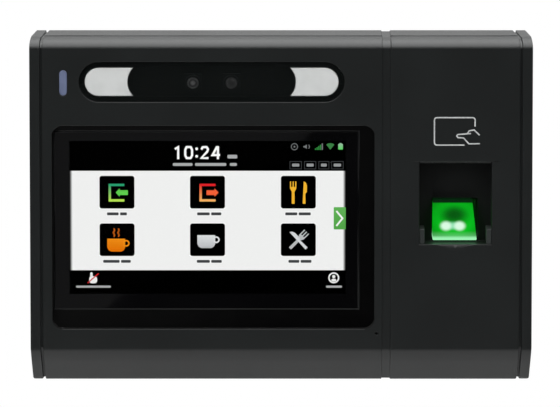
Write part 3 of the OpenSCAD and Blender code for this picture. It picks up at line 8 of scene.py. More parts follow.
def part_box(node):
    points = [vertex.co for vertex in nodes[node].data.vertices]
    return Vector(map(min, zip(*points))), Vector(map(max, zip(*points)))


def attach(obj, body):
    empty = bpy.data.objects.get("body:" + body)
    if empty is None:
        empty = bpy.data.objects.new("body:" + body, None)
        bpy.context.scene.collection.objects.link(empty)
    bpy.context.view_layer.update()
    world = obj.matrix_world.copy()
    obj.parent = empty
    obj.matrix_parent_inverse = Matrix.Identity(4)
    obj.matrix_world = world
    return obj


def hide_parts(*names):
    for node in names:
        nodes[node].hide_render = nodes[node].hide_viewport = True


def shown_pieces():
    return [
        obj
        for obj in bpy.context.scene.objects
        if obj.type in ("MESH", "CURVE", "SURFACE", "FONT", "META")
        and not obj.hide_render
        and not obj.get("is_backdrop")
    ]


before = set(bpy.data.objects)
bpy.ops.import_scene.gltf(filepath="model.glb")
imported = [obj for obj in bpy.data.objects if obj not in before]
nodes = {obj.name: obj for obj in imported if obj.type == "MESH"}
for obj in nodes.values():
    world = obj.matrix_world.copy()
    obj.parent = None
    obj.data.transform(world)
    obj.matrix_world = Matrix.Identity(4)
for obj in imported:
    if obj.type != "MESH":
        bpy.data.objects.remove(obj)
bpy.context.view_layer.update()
scene = bpy.context.scene
scene.view_settings.view_transform = "Standard"

# The camera stands in front of the terminal, a little above it, with a long lens.
# The image points are where the photograph shows each thing, in its own pixels.
PHOTO_W, PHOTO_H = 560, 407
image_points = {
    "case_left": (29.8, None),
    "case_right": (532.3, None),
    "case_top": (None, 28.5),
    "case_bottom": (None, 380.5),
    "status_light": (63.6, 83.3),
    "camera_window": (211.9, 81.7),
    "left_lens": (193.0, 84.2),
    "right_lens": (231.4, 84.2),
    "screen_picture": (207.7, 216.6),
    "side_tab": (339.8, 218.2),
    "card_symbol": (456.9, 131.0),
    "reader_window": (455.9, 220.3),
    "microphone_hole": (378.0, 334.0),
    "joint_light_line": (391.0, None),
}
LENS, SENSOR = 450.0, 36.0
LOOK_DOWN = math.radians(8.0)
AIM = Vector((-0.0006, -0.0406, 0.0044))
# The size of one of the photograph's pixels at the aim, in metres
PIXEL = 0.0005571
distance = PIXEL * PHOTO_W * LENS / SENSOR
camera_data = bpy.data.cameras.new("camera")
camera_data.lens = LENS
camera_data.sensor_width = SENSOR
camera_data.sensor_fit = "AUTO"
camera_data.clip_start = 0.1
camera_data.clip_end = 50.0
camera = bpy.data.objects.new("camera", camera_data)
camera.location = AIM + Vector((0.0, -math.cos(LOOK_DOWN), math.sin(LOOK_DOWN))) * distance
camera.rotation_euler = (math.radians(90.0) - LOOK_DOWN, 0.0, 0.0)
scene.collection.objects.link(camera)
scene.camera = camera
bpy.context.view_layer.update()


def sight_line(x, y):
    """The camera's place and the direction in which it sees a point of the photograph"""
    long_side = max(PHOTO_W, PHOTO_H)
    ray = Vector((x - PHOTO_W / 2 + camera_data.shift_x * long_side,
                  PHOTO_H / 2 - y + camera_data.shift_y * long_side,
                  -long_side * camera_data.lens / camera_data.sensor_width))
    turn = camera.matrix_world.to_quaternion()
    return camera.location.copy(), (turn @ ray).normalized()


def seen_on(point, surface):
    """Where an image point falls on the surface that carries a piece, or the place nearest it"""
    start, ray = sight_line(*image_points[point])
    hit = surface.ray_cast(start, ray)[0]
    if hit is not None:
        return hit
    # Probes along the ray, from 5% nearer than what the camera aims at to 5% beyond it
    probes = [start + ray * distance * (0.95 + 0.1 * step / 400) for step in range(400)]
    return min((surface.find_nearest(probe) for probe in probes), key=lambda near: near[3])[0]


def surface_of(obj):
    """The finished surface of a piece, for rays"""
    return BVHTree.FromObject(obj, bpy.context.evaluated_depsgraph_get())


# The room: a pale floor below the part and a white backdrop all round, open and darker in front,
# where the photographer stands. One wide lamp hangs overhead, two stand in front, and the edge of
# a faint card shows in the glass.
def fill(tree, node, inputs):
    """Sets a node's inputs, each to a plain value or to other nodes' outputs"""
    for socket, value in dict(inputs).items():
        for one in value if isinstance(value, list) else [value]:
            if isinstance(one, bpy.types.NodeSocket):
                tree.links.new(one, node.inputs[socket])
            else:
                node.inputs[socket].default_value = one
    return node


def add_node(tree, kind, inputs=(), **settings):
    """A new node with its settings and inputs"""
    node = tree.nodes.new(kind)
    for name, value in settings.items():
        setattr(node, name, value)
    return fill(tree, node, inputs)


def maths(tree, operation, first, second=0.0):
    """A value worked out from two others"""
    return add_node(tree, "ShaderNodeMath", {0: first, 1: second}, operation=operation).outputs[0]


def eased(tree, value, start, end, low, high):
    """A value that runs smoothly from low to high while another runs from start to end"""
    return add_node(tree, "ShaderNodeMapRange", {
        "Value": value, "From Min": start, "From Max": end, "To Min": low, "To Max": high},
        interpolation_type="SMOOTHSTEP").outputs[0]


FLOOR_Z, FLOOR_R, FLOOR_SIDES = -0.45, 0.7, 96
rim = [2 * math.pi * i / FLOOR_SIDES for i in range(FLOOR_SIDES)]
floor_mesh = bpy.data.meshes.new("floor")
floor_mesh.from_pydata([(FLOOR_R * math.cos(a), FLOOR_R * math.sin(a), FLOOR_Z) for a in rim], [],
                       [list(range(FLOOR_SIDES))])
floor = bpy.data.objects.new("floor", floor_mesh)
scene.collection.objects.link(floor)
floor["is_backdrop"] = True
floor_paint = bpy.data.materials.new("floor_paint")
floor_paint.use_nodes = True
tree = floor_paint.node_tree
tree.nodes.clear()
path = add_node(tree, "ShaderNodeLightPath")
matt = add_node(tree, "ShaderNodeBsdfDiffuse", {"Color": (0.8, 0.8, 0.8, 1.0)})
shaded = add_node(tree, "ShaderNodeBsdfDiffuse", {"Color": (0.35, 0.35, 0.35, 1.0)})
glow = add_node(tree, "ShaderNodeEmission", {"Strength": 0.72})
pale = add_node(tree, "ShaderNodeAddShader", {0: shaded.outputs[0], 1: glow.outputs[0]})
choose = add_node(tree, "ShaderNodeMixShader", {0: path.outputs["Is Camera Ray"],
                                                1: matt.outputs[0], 2: pale.outputs[0]})
add_node(tree, "ShaderNodeOutputMaterial", {"Surface": choose.outputs[0]})
floor_mesh.materials.append(floor_paint)

world = bpy.data.worlds.new("studio")
scene.world = world
world.use_nodes = True
tree = world.node_tree
tree.nodes.clear()
path = add_node(tree, "ShaderNodeLightPath")
where = add_node(tree, "ShaderNodeTexCoord")
split = add_node(tree, "ShaderNodeSeparateXYZ", {0: where.outputs["Generated"]})
# Where a ray leaves the room: dark in front, pale behind, and pale overhead and below
behind = eased(tree, split.outputs["Y"], -0.55, 0.35, 0.012, 0.85)
poles = eased(tree, maths(tree, "ABSOLUTE", split.outputs["Z"]), 0.48, 0.95, 0.0, 1.0)
room = add_node(tree, "ShaderNodeBackground", {"Strength": maths(tree, "MAXIMUM", behind, poles)})
white = add_node(tree, "ShaderNodeBackground", {"Color": (1.0, 1.0, 1.0, 1.0), "Strength": 1.0})
bounced = maths(tree, "MAXIMUM", path.outputs["Is Glossy Ray"], path.outputs["Is Transmission Ray"])
seen = maths(tree, "MAXIMUM", path.outputs["Is Camera Ray"],
             maths(tree, "MULTIPLY", bounced, behind))
choose = add_node(tree, "ShaderNodeMixShader", {0: seen, 1: room.outputs[0], 2: white.outputs[0]})
add_node(tree, "ShaderNodeOutputWorld", {"Surface": choose.outputs[0]})


def add_lamp(name, place, target, width, height, watts, roll=0.0):
    """A wide soft lamp that points at a place"""
    data = bpy.data.lights.new(name, "AREA")
    data.shape = "RECTANGLE"
    data.size = width
    data.size_y = height
    data.energy = watts
    lamp = bpy.data.objects.new(name, data)
    lamp.location = place
    aim = (Vector(target) - Vector(place)).to_track_quat("-Z", "Y")
    lamp.rotation_euler = (aim @ Quaternion((0.0, 0.0, 1.0), roll)).to_euler()
    lamp.visible_camera = False
    scene.collection.objects.link(lamp)


# Each lamp's place, what it points at, its width, its height and its power
add_lamp("lamp_overhead", (0.0, -0.05, 1.1), (0.0, -0.02, 0.0), 1.3, 1.9, 38.0)
add_lamp("lamp_front_left", (-1.25, -1.25, 0.95), (0.0, 0.0, 0.0), 1.0, 1.0, 12.5)
add_lamp("lamp_front_right", (1.25, -1.3, 0.8), (0.0, 0.0, 0.0), 1.0, 1.0, 7.5)
CARD_X, CARD_Z = -0.103, -0.17
add_lamp("soft_card", (CARD_X, -1.6, CARD_Z), (CARD_X, 0.0, CARD_Z), 0.40, 0.15, 0.024,
         math.radians(41.0))


# The wall plate: zinc-plated steel sheet, punched for the wall screws and the cable, with four
# hooks and a foot tab bent forward. It is screwed to the wall and the terminal hangs on its hooks.
def paint(red, green, blue):
    """A colour written as it shows on a screen, 0 to 255"""
    def linear(v):
        v /= 255.0
        return v / 12.92 if v <= 0.04045 else ((v + 0.055) / 1.055) ** 2.4
    return (linear(red), linear(green), linear(blue), 1.0)


def new_material(name):
    """A material, its node tree and its shader"""
    material = bpy.data.materials.new(name)
    material.use_nodes = True
    tree = material.node_tree
    return material, tree, tree.nodes["Principled BSDF"]


def object_place(tree, scale=(1.0, 1.0, 1.0), middle=(0.0, 0.0, 0.0)):
    """The object's own coordinates, centred on a place and stretched"""
    where = add_node(tree, "ShaderNodeTexCoord").outputs["Object"]
    centred = add_node(tree, "ShaderNodeVectorMath", {0: where, 1: middle}, operation="SUBTRACT")
    return add_node(tree, "ShaderNodeVectorMath", {0: centred.outputs[0], 1: scale},
                    operation="MULTIPLY").outputs[0]


def noise(tree, scale, detail=3.0, rough=0.5, stretch=(1.0, 1.0, 1.0)):
    """Soft specks, this many to the metre"""
    return add_node(tree, "ShaderNodeTexNoise", {
        "Vector": object_place(tree, stretch), "Scale": scale, "Detail": detail,
        "Roughness": rough}).outputs["Fac"]


def spread(tree, value, low, high, start=0.3, end=0.7):
    """Stretches a value so that start to end becomes low to high"""
    return add_node(tree, "ShaderNodeMapRange", {
        "Value": value, "From Min": start, "From Max": end, "To Min": low,
        "To Max": high}).outputs[0]


def two_tone(tree, value, dark, light, start=0.35, end=0.65):
    """A colour between two tones, by a value"""
    ramp = add_node(tree, "ShaderNodeValToRGB", {"Fac": value})
    for stop, position, tone in zip(ramp.color_ramp.elements, (start, end), (dark, light)):
        stop.position = position
        stop.color = tone
    return ramp.outputs["Color"]


def clouded(tree, scale, dark, light, detail=3.0):
    """A colour that drifts between two tones, in soft specks, this many to the metre"""
    return two_tone(tree, noise(tree, scale, detail), dark, light)


def mixed(tree, value, first, second):
    """A colour between two others, each a plain colour or another node's"""
    return add_node(tree, "ShaderNodeMix", {0: value, 6: first, 7: second},
                    data_type="RGBA").outputs[2]


def bump(tree, value, strength, depth):
    """Fine relief, this deep in metres"""
    return add_node(tree, "ShaderNodeBump", {"Strength": strength, "Distance": depth,
                                             "Height": value}).outputs["Normal"]


def bare_metal(name, dark, light, rough_low, rough_high, grain=(1.0, 1.0, 1.0), grain_scale=900.0):
    """Plated or rolled metal: cloudy tone, fine rolling or turning marks"""
    material, tree, shader = new_material(name)
    marks = noise(tree, grain_scale, 3.0, 0.6, grain)
    fill(tree, shader, {"Base Color": clouded(tree, 60.0, dark, light, 4.0),
                        "Roughness": spread(tree, marks, rough_low, rough_high),
                        "Normal": bump(tree, marks, 0.25, 0.00003), "Metallic": 1.0})
    return material


# How close two points are merged, and how flat two faces lie to be joined, in the CAD's meshes
MERGE = 2e-6
FLAT = math.radians(0.8)
# From this angle an edge is rounded, and the widest rounding that a rounder can ask for
SHARP = math.radians(30.0)
WIDEST = 8.0
# How far off a surface a look out from it starts
OFF_SURFACE = 0.0002


def open_to_view(point, direction):
    """Whether a place on a solid can be seen from outside the object, in one of five directions"""
    side = direction.orthogonal().normalized()
    other = direction.cross(side)
    for aim in (direction, direction + side, direction - side, direction + other,
                direction - other):
        if whole_tree.ray_cast(point + direction * OFF_SURFACE, aim.normalized())[0] is None:
            return True
    return False


def rounded_copy(node, name, width, cuts=(), segments=2, all_edges=False, rounder=None,
                 moulder=None):
    """A CAD node's shape, its triangles joined into flat faces and the edges in view rounded.
    The cuts are planes through its openings, so that no flat face runs all round an opening.
    rounder gives how many times wider than the rest an edge is rounded, by its middle, and
    moulder is called with each point to move it."""
    bm = bmesh.new()
    bm.from_mesh(nodes[node].data)
    bmesh.ops.remove_doubles(bm, verts=bm.verts, dist=MERGE)
    for axis, at in cuts:
        normal = Vector([float(axis == letter) for letter in "xyz"])
        cut = bmesh.ops.bisect_plane(bm, geom=bm.verts[:] + bm.edges[:] + bm.faces[:], dist=1e-7,
                                     plane_co=normal * at, plane_no=normal)
        for edge in cut["geom_cut"]:
            if isinstance(edge, bmesh.types.BMEdge):
                edge.seam = True
    bmesh.ops.dissolve_limit(bm, angle_limit=FLAT, verts=bm.verts, edges=bm.edges, delimit={"SEAM"})
    if moulder:
        for vertex in bm.verts:
            moulder(vertex)
        bmesh.ops.remove_doubles(bm, verts=bm.verts, dist=MERGE)
        bmesh.ops.dissolve_degenerate(bm, dist=MERGE, edges=bm.edges)
        bm.normal_update()
    weights = bm.edges.layers.float.new("bevel_weight_edge")
    widest = WIDEST if rounder else 1.0
    for edge in bm.edges:
        edge.seam = False
        if len(edge.link_faces) == 2 and edge.calc_face_angle(0.0) > SHARP:
            outward = (edge.link_faces[0].normal + edge.link_faces[1].normal).normalized()
            middle = (edge.verts[0].co + edge.verts[1].co) / 2
            share = rounder(middle) if rounder else 1.0
            if share and (all_edges or open_to_view(middle, outward)):
                edge[weights] = share / widest
            else:
                edge.smooth = False
    mesh = bpy.data.meshes.new(name)
    bm.to_mesh(mesh)
    bm.free()
    for polygon in mesh.polygons:
        polygon.use_smooth = True
    piece = bpy.data.objects.new(name, mesh)
    scene.collection.objects.link(piece)
    soften = piece.modifiers.new("rounded_edges", "BEVEL")
    soften.width = width * widest
    soften.segments = segments
    soften.limit_method = "WEIGHT"
    soften.use_clamp_overlap = False
    shading = piece.modifiers.new("flat_faces_stay_flat", "WEIGHTED_NORMAL")
    shading.keep_sharp = True
    shading.weight = 100
    return piece


def finish_piece(piece, material, replaced, slot, body="terminal"):
    """Gives a piece its finish and its place in the object"""
    if not piece.data.materials:
        piece.data.materials.append(material)
    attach(piece, body)
    if replaced:
        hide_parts(replaced)
    return piece


def dressed(node, width, material, slot, body="terminal", name=None, **shape):
    """A CAD node's rounded copy, finished and in the node's place"""
    piece = rounded_copy(node, name or "look_" + node, width, **shape)
    return finish_piece(piece, material, node, slot, body)


def dress(node, material):
    """A CAD solid whose shape is right keeps it and gets its finish"""
    for place in nodes[node].material_slots:
        place.material = material


whole = bmesh.new()
for node in nodes.values():
    whole.from_mesh(node.data)
whole_tree = BVHTree.FromBMesh(whole)
whole.free()

plate_cuts = [("x", x) for x in (-0.075, -0.03, -0.012, 0.0, 0.03, 0.075)]
zinc = bare_metal("zinc_plate", paint(160, 164, 168), paint(180, 183, 186), 0.32, 0.5,
                  (1.0, 1.0, 0.08))
dressed("wall_plate", 0.0003, zinc, "sheet_steel", "wall_mount", cuts=plate_cuts)


# The screws: zinc-plated steel with a rolled thread, a round-rimmed head and a hexagon socket. The
# one security screw, under the foot, has a pin in its socket and is driven into a brass insert, the
# main board's into the display bracket's posts, and the others into moulded plastic.
def loose_parts(node):
    """The separate solids of a CAD node, each as its points"""
    bm = bmesh.new()
    bm.from_mesh(nodes[node].data)
    bmesh.ops.remove_doubles(bm, verts=bm.verts, dist=MERGE)
    bm.verts.index_update()
    seen = set()
    parts = []
    for first in bm.verts:
        if first.index in seen:
            continue
        seen.add(first.index)
        part = [first]
        for vert in part:
            for edge in vert.link_edges:
                other = edge.other_vert(vert)
                if other.index not in seen:
                    seen.add(other.index)
                    part.append(other)
        parts.append([vert.co.copy() for vert in part])
    bm.free()
    return parts


def middle_of(points):
    """The middle of some points, and how far they reach in x, y and z"""
    low = Vector([min(p[i] for p in points) for i in range(3)])
    high = Vector([max(p[i] for p in points) for i in range(3)])
    return (low + high) / 2, high - low


def screw_places(node, axis, length, head_r, head_h):
    """Where each screw's head bears, and which way its shank points"""
    places = []
    for part in loose_parts(node):
        middle, size = middle_of(part)
        # Screws of another length are made on their own
        if abs(size[axis] - length - head_h) > 0.0003:
            continue
        # The head is at the lower end if the points there reach out about as far as its rim
        low = middle[axis] - size[axis] / 2
        side = (axis + 1) % 3
        wide = max(abs(p[side] - middle[side]) for p in part if p[axis] < low + 1e-5)
        way = 1.0 if wide > head_r * 0.95 else -1.0
        bearing = middle.copy()
        bearing[axis] = middle[axis] - way * (size[axis] / 2 - head_h)
        places.append((bearing, [way * float(i == axis) for i in range(3)]))
    return places


class Tree:
    """A Geometry Nodes tree, built in short lines, whose inputs are reached by name"""
    def __init__(self, name, result, **inputs):
        self.tree = bpy.data.node_groups.new(name, "GeometryNodeTree")
        self.tree.interface.new_socket(name=result, in_out="OUTPUT",
                                       socket_type="NodeSocketGeometry")
        self.identifier = {}
        for label, kind in inputs.items():
            socket = self.tree.interface.new_socket(name=label.replace("_", " "), in_out="INPUT",
                                                    socket_type="NodeSocket" + kind)
            self.identifier[label] = socket.identifier
        self.given = self.tree.nodes.new("NodeGroupInput")
        self.result = self.tree.nodes.new("NodeGroupOutput")

    def __getitem__(self, label):
        return self.given.outputs[label.replace("_", " ")]

    def node(self, kind, inputs=(), **settings):
        """A new node's first output"""
        return add_node(self.tree, kind, inputs, **settings).outputs[0]

    def maths(self, operation, first, second=0.0):
        """A value worked out from two others"""
        return maths(self.tree, operation, first, second)

    def raised(self, geometry, height):
        """A geometry moved up its own axis"""
        way = self.node("ShaderNodeCombineXYZ", {2: height})
        return self.node("GeometryNodeTransform", {"Geometry": geometry, "Translation": way})

    def finish(self, geometry):
        """The tree's end: real faces with their finish"""
        real = self.node("GeometryNodeRealizeInstances", {"Geometry": geometry})
        finished = self.node("GeometryNodeSetMaterial", {"Geometry": real,
                                                         "Material": self["Finish"]})
        self.tree.links.new(finished, self.result.inputs[0])


# From this angle an edge of a part made this way is shown sharp
SHARP_SMALL = math.radians(35.0)


def screw_tree():
    """One screw, its head below the place that it bears on and its shank above, at every point"""
    t = Tree("socket_screw", "Screws", Places="Geometry", Head_Radius="Float", Head_Height="Float",
             Shank_Radius="Float", Length="Float", Thread_Pitch="Float", Pin_Radius="Float",
             Finish="Material")
    head_r, head_h, length = t["Head_Radius"], t["Head_Height"], t["Length"]
    x, y, z = t.node("ShaderNodeSeparateXYZ", {0: t.node("GeometryNodeInputPosition")}).node.outputs

    # The head, its edge rolled in to 0.84 of its radius, with a socket and in it, if any, a pin
    head = t.node("GeometryNodeMeshCylinder", {"Vertices": 32, "Side Segments": 8, "Radius": head_r,
                                               "Depth": head_h})
    rim = t.node("ShaderNodeMapRange", {"Value": t.maths("DIVIDE", z, head_h), "From Min": -0.5,
                                        "From Max": -0.15, "To Min": 0.84, "To Max": 1.0},
                 interpolation_type="SMOOTHERSTEP")
    rounded = t.node("ShaderNodeCombineXYZ", {0: t.maths("MULTIPLY", x, rim),
                                              1: t.maths("MULTIPLY", y, rim), 2: z})
    head = t.node("GeometryNodeSetPosition", {"Geometry": head, "Position": rounded})
    socket = t.node("GeometryNodeMeshCylinder", {"Vertices": 6, "Depth": head_h,
                                                 "Radius": t.maths("MULTIPLY", head_r, 0.45)})
    socket = t.raised(socket, t.maths("MULTIPLY", head_h, -0.42))
    head = t.node("GeometryNodeMeshBoolean", {"Mesh 1": head, "Mesh 2": socket},
                  operation="DIFFERENCE")
    pin = t.node("GeometryNodeMeshCylinder", {"Vertices": 16, "Radius": t["Pin_Radius"],
                                              "Depth": t.maths("MULTIPLY", head_h, 0.75)})
    no_pin = t.node("FunctionNodeCompare", {0: t["Pin_Radius"], 1: 0.00001}, operation="LESS_THAN")
    pin = t.node("GeometryNodeDeleteGeometry", {"Geometry": pin, "Selection": no_pin})
    pin = t.raised(pin, t.maths("MULTIPLY", head_h, -0.08))
    head = t.raised(t.node("GeometryNodeJoinGeometry", {"Geometry": [head, pin]}),
                    t.maths("MULTIPLY", head_h, -0.5))

    # The shank, its thread a helix that cuts in to 0.84 of its radius, drawn in to 0.7 at the tip
    turns = t.maths("DIVIDE", length, t["Thread_Pitch"])
    shank = t.node("GeometryNodeMeshCylinder", {
        "Vertices": 12, "Side Segments": t.maths("ROUND", t.maths("MULTIPLY", turns, 3.0)),
        "Radius": t["Shank_Radius"], "Depth": length})
    angle = t.maths("DIVIDE", t.maths("ARCTAN2", y, x), 2.0 * math.pi)
    helix = t.maths("FRACT", t.maths("ADD", t.maths("DIVIDE", z, t["Thread_Pitch"]), angle))
    crest = t.maths("MULTIPLY", t.maths("ABSOLUTE", t.maths("SUBTRACT", helix, 0.5)), 0.32)
    tip = t.node("ShaderNodeMapRange", {"Value": t.maths("DIVIDE", z, length), "From Min": 0.4,
                                        "From Max": 0.5, "To Min": 1.0, "To Max": 0.7})
    cut = t.maths("MULTIPLY", t.maths("ADD", crest, 0.84), tip)
    threaded = t.node("ShaderNodeCombineXYZ", {0: t.maths("MULTIPLY", x, cut),
                                               1: t.maths("MULTIPLY", y, cut), 2: z})
    shank = t.node("GeometryNodeSetPosition", {"Geometry": shank, "Position": threaded})
    shank = t.raised(shank, t.maths("MULTIPLY", length, 0.5))
    one = t.node("GeometryNodeJoinGeometry", {"Geometry": [head, shank]})

    way = t.node("GeometryNodeInputNamedAttribute", {"Name": "points_to"}, data_type="FLOAT_VECTOR")
    turn = t.node("FunctionNodeAlignRotationToVector", {"Vector": way}, axis="Z")
    t.finish(t.node("GeometryNodeInstanceOnPoints", {"Points": t["Places"], "Instance": one,
                                                     "Rotation": turn}))
    return t


def made_by(tree, name, places, values):
    """Runs a Geometry Nodes tree on points, each with a direction, and returns its plain mesh"""
    base = bpy.data.meshes.new(name + "_places")
    base.from_pydata([place for place, way in places], [], [])
    ways = base.attributes.new("points_to", "FLOAT_VECTOR", "POINT")
    for i, (place, way) in enumerate(places):
        ways.data[i].vector = way
    carrier = bpy.data.objects.new(name + "_places", base)
    scene.collection.objects.link(carrier)
    maker = carrier.modifiers.new("maker", "NODES")
    maker.node_group = tree.tree
    for label, value in values.items():
        maker[tree.identifier[label]] = value
    bpy.context.view_layer.update()
    graph = bpy.context.evaluated_depsgraph_get()
    made = bpy.data.meshes.new_from_object(carrier.evaluated_get(graph))
    carrier.modifiers.clear()
    bpy.data.objects.remove(carrier)
    made.name = name
    for polygon in made.polygons:
        polygon.use_smooth = True
    made.set_sharp_from_angle(angle=SHARP_SMALL)
    piece = bpy.data.objects.new(name, made)
    scene.collection.objects.link(piece)
    return piece


screw_steel = bare_metal("plated_screw_steel", paint(140, 144, 150), paint(176, 178, 180),
                         0.22, 0.38, grain_scale=1500.0)
screws = screw_tree()
# The sizes of screw: head radius, head height, shank radius, thread pitch and pin radius
SECURITY = (0.0032, 0.0022, 0.00195, 0.0007, 0.00042)
COMMON = (0.0027, 0.0019, 0.00145, 0.0011, 0.0)
SMALL = (0.0019, 0.0012, 0.001, 0.0008, 0.0)
for name, node, axis, length, (head_r, head_h, shank_r, pitch, pin_r), body in (
        ("security_screw_pin_hex", "security_screw", 2, 0.012, SECURITY, "security_screw"),
        ("housing_screws_hex", "housing_screws", 1, 0.027, COMMON, "terminal"),
        ("board_screws_short", "board_screws", 1, 0.006, COMMON, "terminal"),
        ("board_screws_long", "board_screws", 1, 0.008, COMMON, "terminal"),
        ("well_screws_hex", "sensor_screws", 1, 0.0046, COMMON, "terminal"),
        ("sensor_screws_small", "sensor_screws", 1, 0.006, SMALL, "terminal"),
        ("camera_screws_small", "sensor_screws", 1, 0.005, SMALL, "terminal"),
        ("cap_screws_hex", "cap_screws", 0, 0.00565, COMMON, "terminal")):
    piece = made_by(screws, name, screw_places(node, axis, length, head_r, head_h), {
        "Head_Radius": head_r, "Head_Height": head_h, "Shank_Radius": shank_r, "Length": length,
        "Thread_Pitch": pitch, "Pin_Radius": pin_r, "Finish": screw_steel})
    finish_piece(piece, screw_steel, node, "screw_steel", body)


# The rear housings: two dark grey moulded shells with screw columns and hook slots. The main one
# has the cable bay, the port board's posts and the brass insert for the security screw, the
# reader's one the reader board's posts and the speaker's holes.
def moulded_plastic(name, dark, light, rough_low, rough_high, grain_size, grain_depth, gloss=0.4):
    """Moulded plastic with a fine spark-eroded grain and a faint flow variation"""
    material, tree, shader = new_material(name)
    fine = noise(tree, 1.0 / grain_size, 2.0)
    fill(tree, shader, {"Base Color": clouded(tree, 22.0, dark, light, 4.0),
                        "Roughness": spread(tree, fine, rough_low, rough_high),
                        "Normal": bump(tree, fine, 0.35, grain_depth), "Specular IOR Level": gloss})
    return material


# The middle of the reader module, across
READER_X = 0.0972
rear_plastic = moulded_plastic("rear_plastic", paint(22, 24, 24), paint(28, 30, 30), 0.5, 0.62,
                               0.0006, 0.00008)
level_cuts = [("z", 0.05), ("z", -0.042)]
dressed("main_rear_housing", 0.0004, rear_plastic, "rear_plastic",
        cuts=[("x", x) for x in (-0.08, -0.012, 0.012, 0.08)] + level_cuts)
dressed("reader_rear_housing", 0.0004, rear_plastic, "rear_plastic",
        cuts=[("x", x) for x in (0.08, READER_X)] + level_cuts)

brass, tree, shader = new_material("brass_insert")
knurl = noise(tree, 1400.0, 2.0, 0.5, (1.0, 1.0, 0.15))
fill(tree, shader, {"Base Color": clouded(tree, 80.0, paint(168, 134, 70), paint(196, 164, 96)),
                    "Roughness": spread(tree, knurl, 0.25, 0.45),
                    "Normal": bump(tree, knurl, 0.5, 0.0001), "Metallic": 1.0})
dress("screw_insert", brass)


# The seals: in each module one flat ring of black silicone rubber between the front cover and the
# rear housing, pressed tight when the two are screwed together.
seal_rubber, tree, shader = new_material("seal_rubber")
dust = noise(tree, 2600.0, 2.0)
fill(tree, shader, {"Base Color": clouded(tree, 120.0, paint(14, 14, 15), paint(24, 24, 25), 4.0),
                    "Roughness": spread(tree, dust, 0.6, 0.8),
                    "Normal": bump(tree, dust, 0.3, 0.00004)})
dress("housing_seals", seal_rubber)


# The circuit boards: glass-epoxy with green solder mask over etched copper. All are held by screws
# but the antenna board, which is staked to the reader cover. The camera board's mask is black, so
# that it stays unseen.
board_mask, tree, shader = new_material("solder_mask")
along_board = object_place(tree, (1.0, 0.02, 1.0))
nearest, second = [add_node(tree, "ShaderNodeTexVoronoi", {"Vector": along_board, "Scale": 260.0},
                            distance="MANHATTAN", feature=feature).outputs["Distance"]
                   for feature in ("F1", "F2")]
tracks = spread(tree, maths(tree, "SUBTRACT", second, nearest), 0.0, 1.0, 0.1, 0.16)
dots = add_node(tree, "ShaderNodeTexVoronoi", {"Vector": along_board, "Scale": 170.0})
vias = spread(tree, dots.outputs["Distance"], 1.0, 0.0, 0.09, 0.12)
green = mixed(tree, tracks, paint(26, 92, 52), paint(12, 62, 36))
fill(tree, shader, {"Base Color": mixed(tree, vias, green, paint(176, 168, 140)),
                    "Roughness": spread(tree, noise(tree, 700.0), 0.28, 0.42),
                    "Normal": bump(tree, tracks, 0.4, 0.00004)})
for board in ("main_board", "reader_board", "antenna_board", "sensor_board", "port_board"):
    dress(board, board_mask)

black_mask, tree, shader = new_material("black_solder_mask")
fill(tree, shader, {"Base Color": clouded(tree, 500.0, paint(7, 9, 9), paint(12, 14, 14), 2.0),
                    "Roughness": spread(tree, noise(tree, 700.0), 0.4, 0.55)})
dress("camera_board", black_mask)


# On the main and reader boards: a tinned shield can, moulded chips with tinned legs, small ceramic
# parts, a coin cell in its holder, sockets for the leads, and flat cables to the other boards.
tin = bare_metal("tinned_steel", paint(168, 170, 172), paint(198, 199, 200), 0.28, 0.42,
                 (1.0, 0.3, 1.0))
nickel = bare_metal("nickel_shell", paint(156, 156, 152), paint(188, 187, 182), 0.2, 0.34,
                    (0.15, 1.0, 1.0), 1200.0)
dressed("processor_shield", 0.0002, tin, "bright_metal")
dressed("network_jack", 0.0002, nickel, "bright_metal")

chip_black = moulded_plastic("chip_moulding", paint(22, 22, 24), paint(34, 34, 36), 0.55, 0.7,
                             0.0003, 0.00003)
socket_black = moulded_plastic("black_nylon", paint(20, 20, 21), paint(30, 30, 31), 0.4, 0.55,
                               0.0005, 0.00005)
socket_ivory = moulded_plastic("ivory_nylon", paint(206, 200, 182), paint(222, 217, 202), 0.4, 0.55,
                               0.0006, 0.00005)
for node, material, slot, edge in (
        ("board_chips", chip_black, "dark_plastic", 0.0001),
        ("coin_cell_holder", socket_black, "dark_plastic", 0.0002),
        ("power_jack", socket_black, "dark_plastic", 0.0003),
        ("wiring_sockets", socket_ivory, "light_plastic", 0.0002),
        ("ribbon_sockets", socket_ivory, "light_plastic", 0.0002)):
    dressed(node, edge, material, slot, all_edges=True)


def rings_round(tree, node, direction, scale, distortion=0.0):
    """Rings about a line through the middle of a CAD node"""
    low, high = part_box(node)
    return add_node(tree, "ShaderNodeTexWave", {
        "Vector": object_place(tree, middle=(low + high) / 2), "Scale": scale,
        "Distortion": distortion},
        wave_type="RINGS", rings_direction=direction).outputs["Fac"]


cell_steel, tree, shader = new_material("coin_cell_steel")
turned = rings_round(tree, "coin_cell", "Y", 900.0, 2.0)
fill(tree, shader, {"Base Color": clouded(tree, 90.0, paint(178, 178, 176), paint(206, 206, 203)),
                    "Roughness": spread(tree, turned, 0.2, 0.32, 0.0, 1.0),
                    "Normal": bump(tree, turned, 0.15, 0.00001), "Metallic": 1.0})
dress("coin_cell", cell_steel)


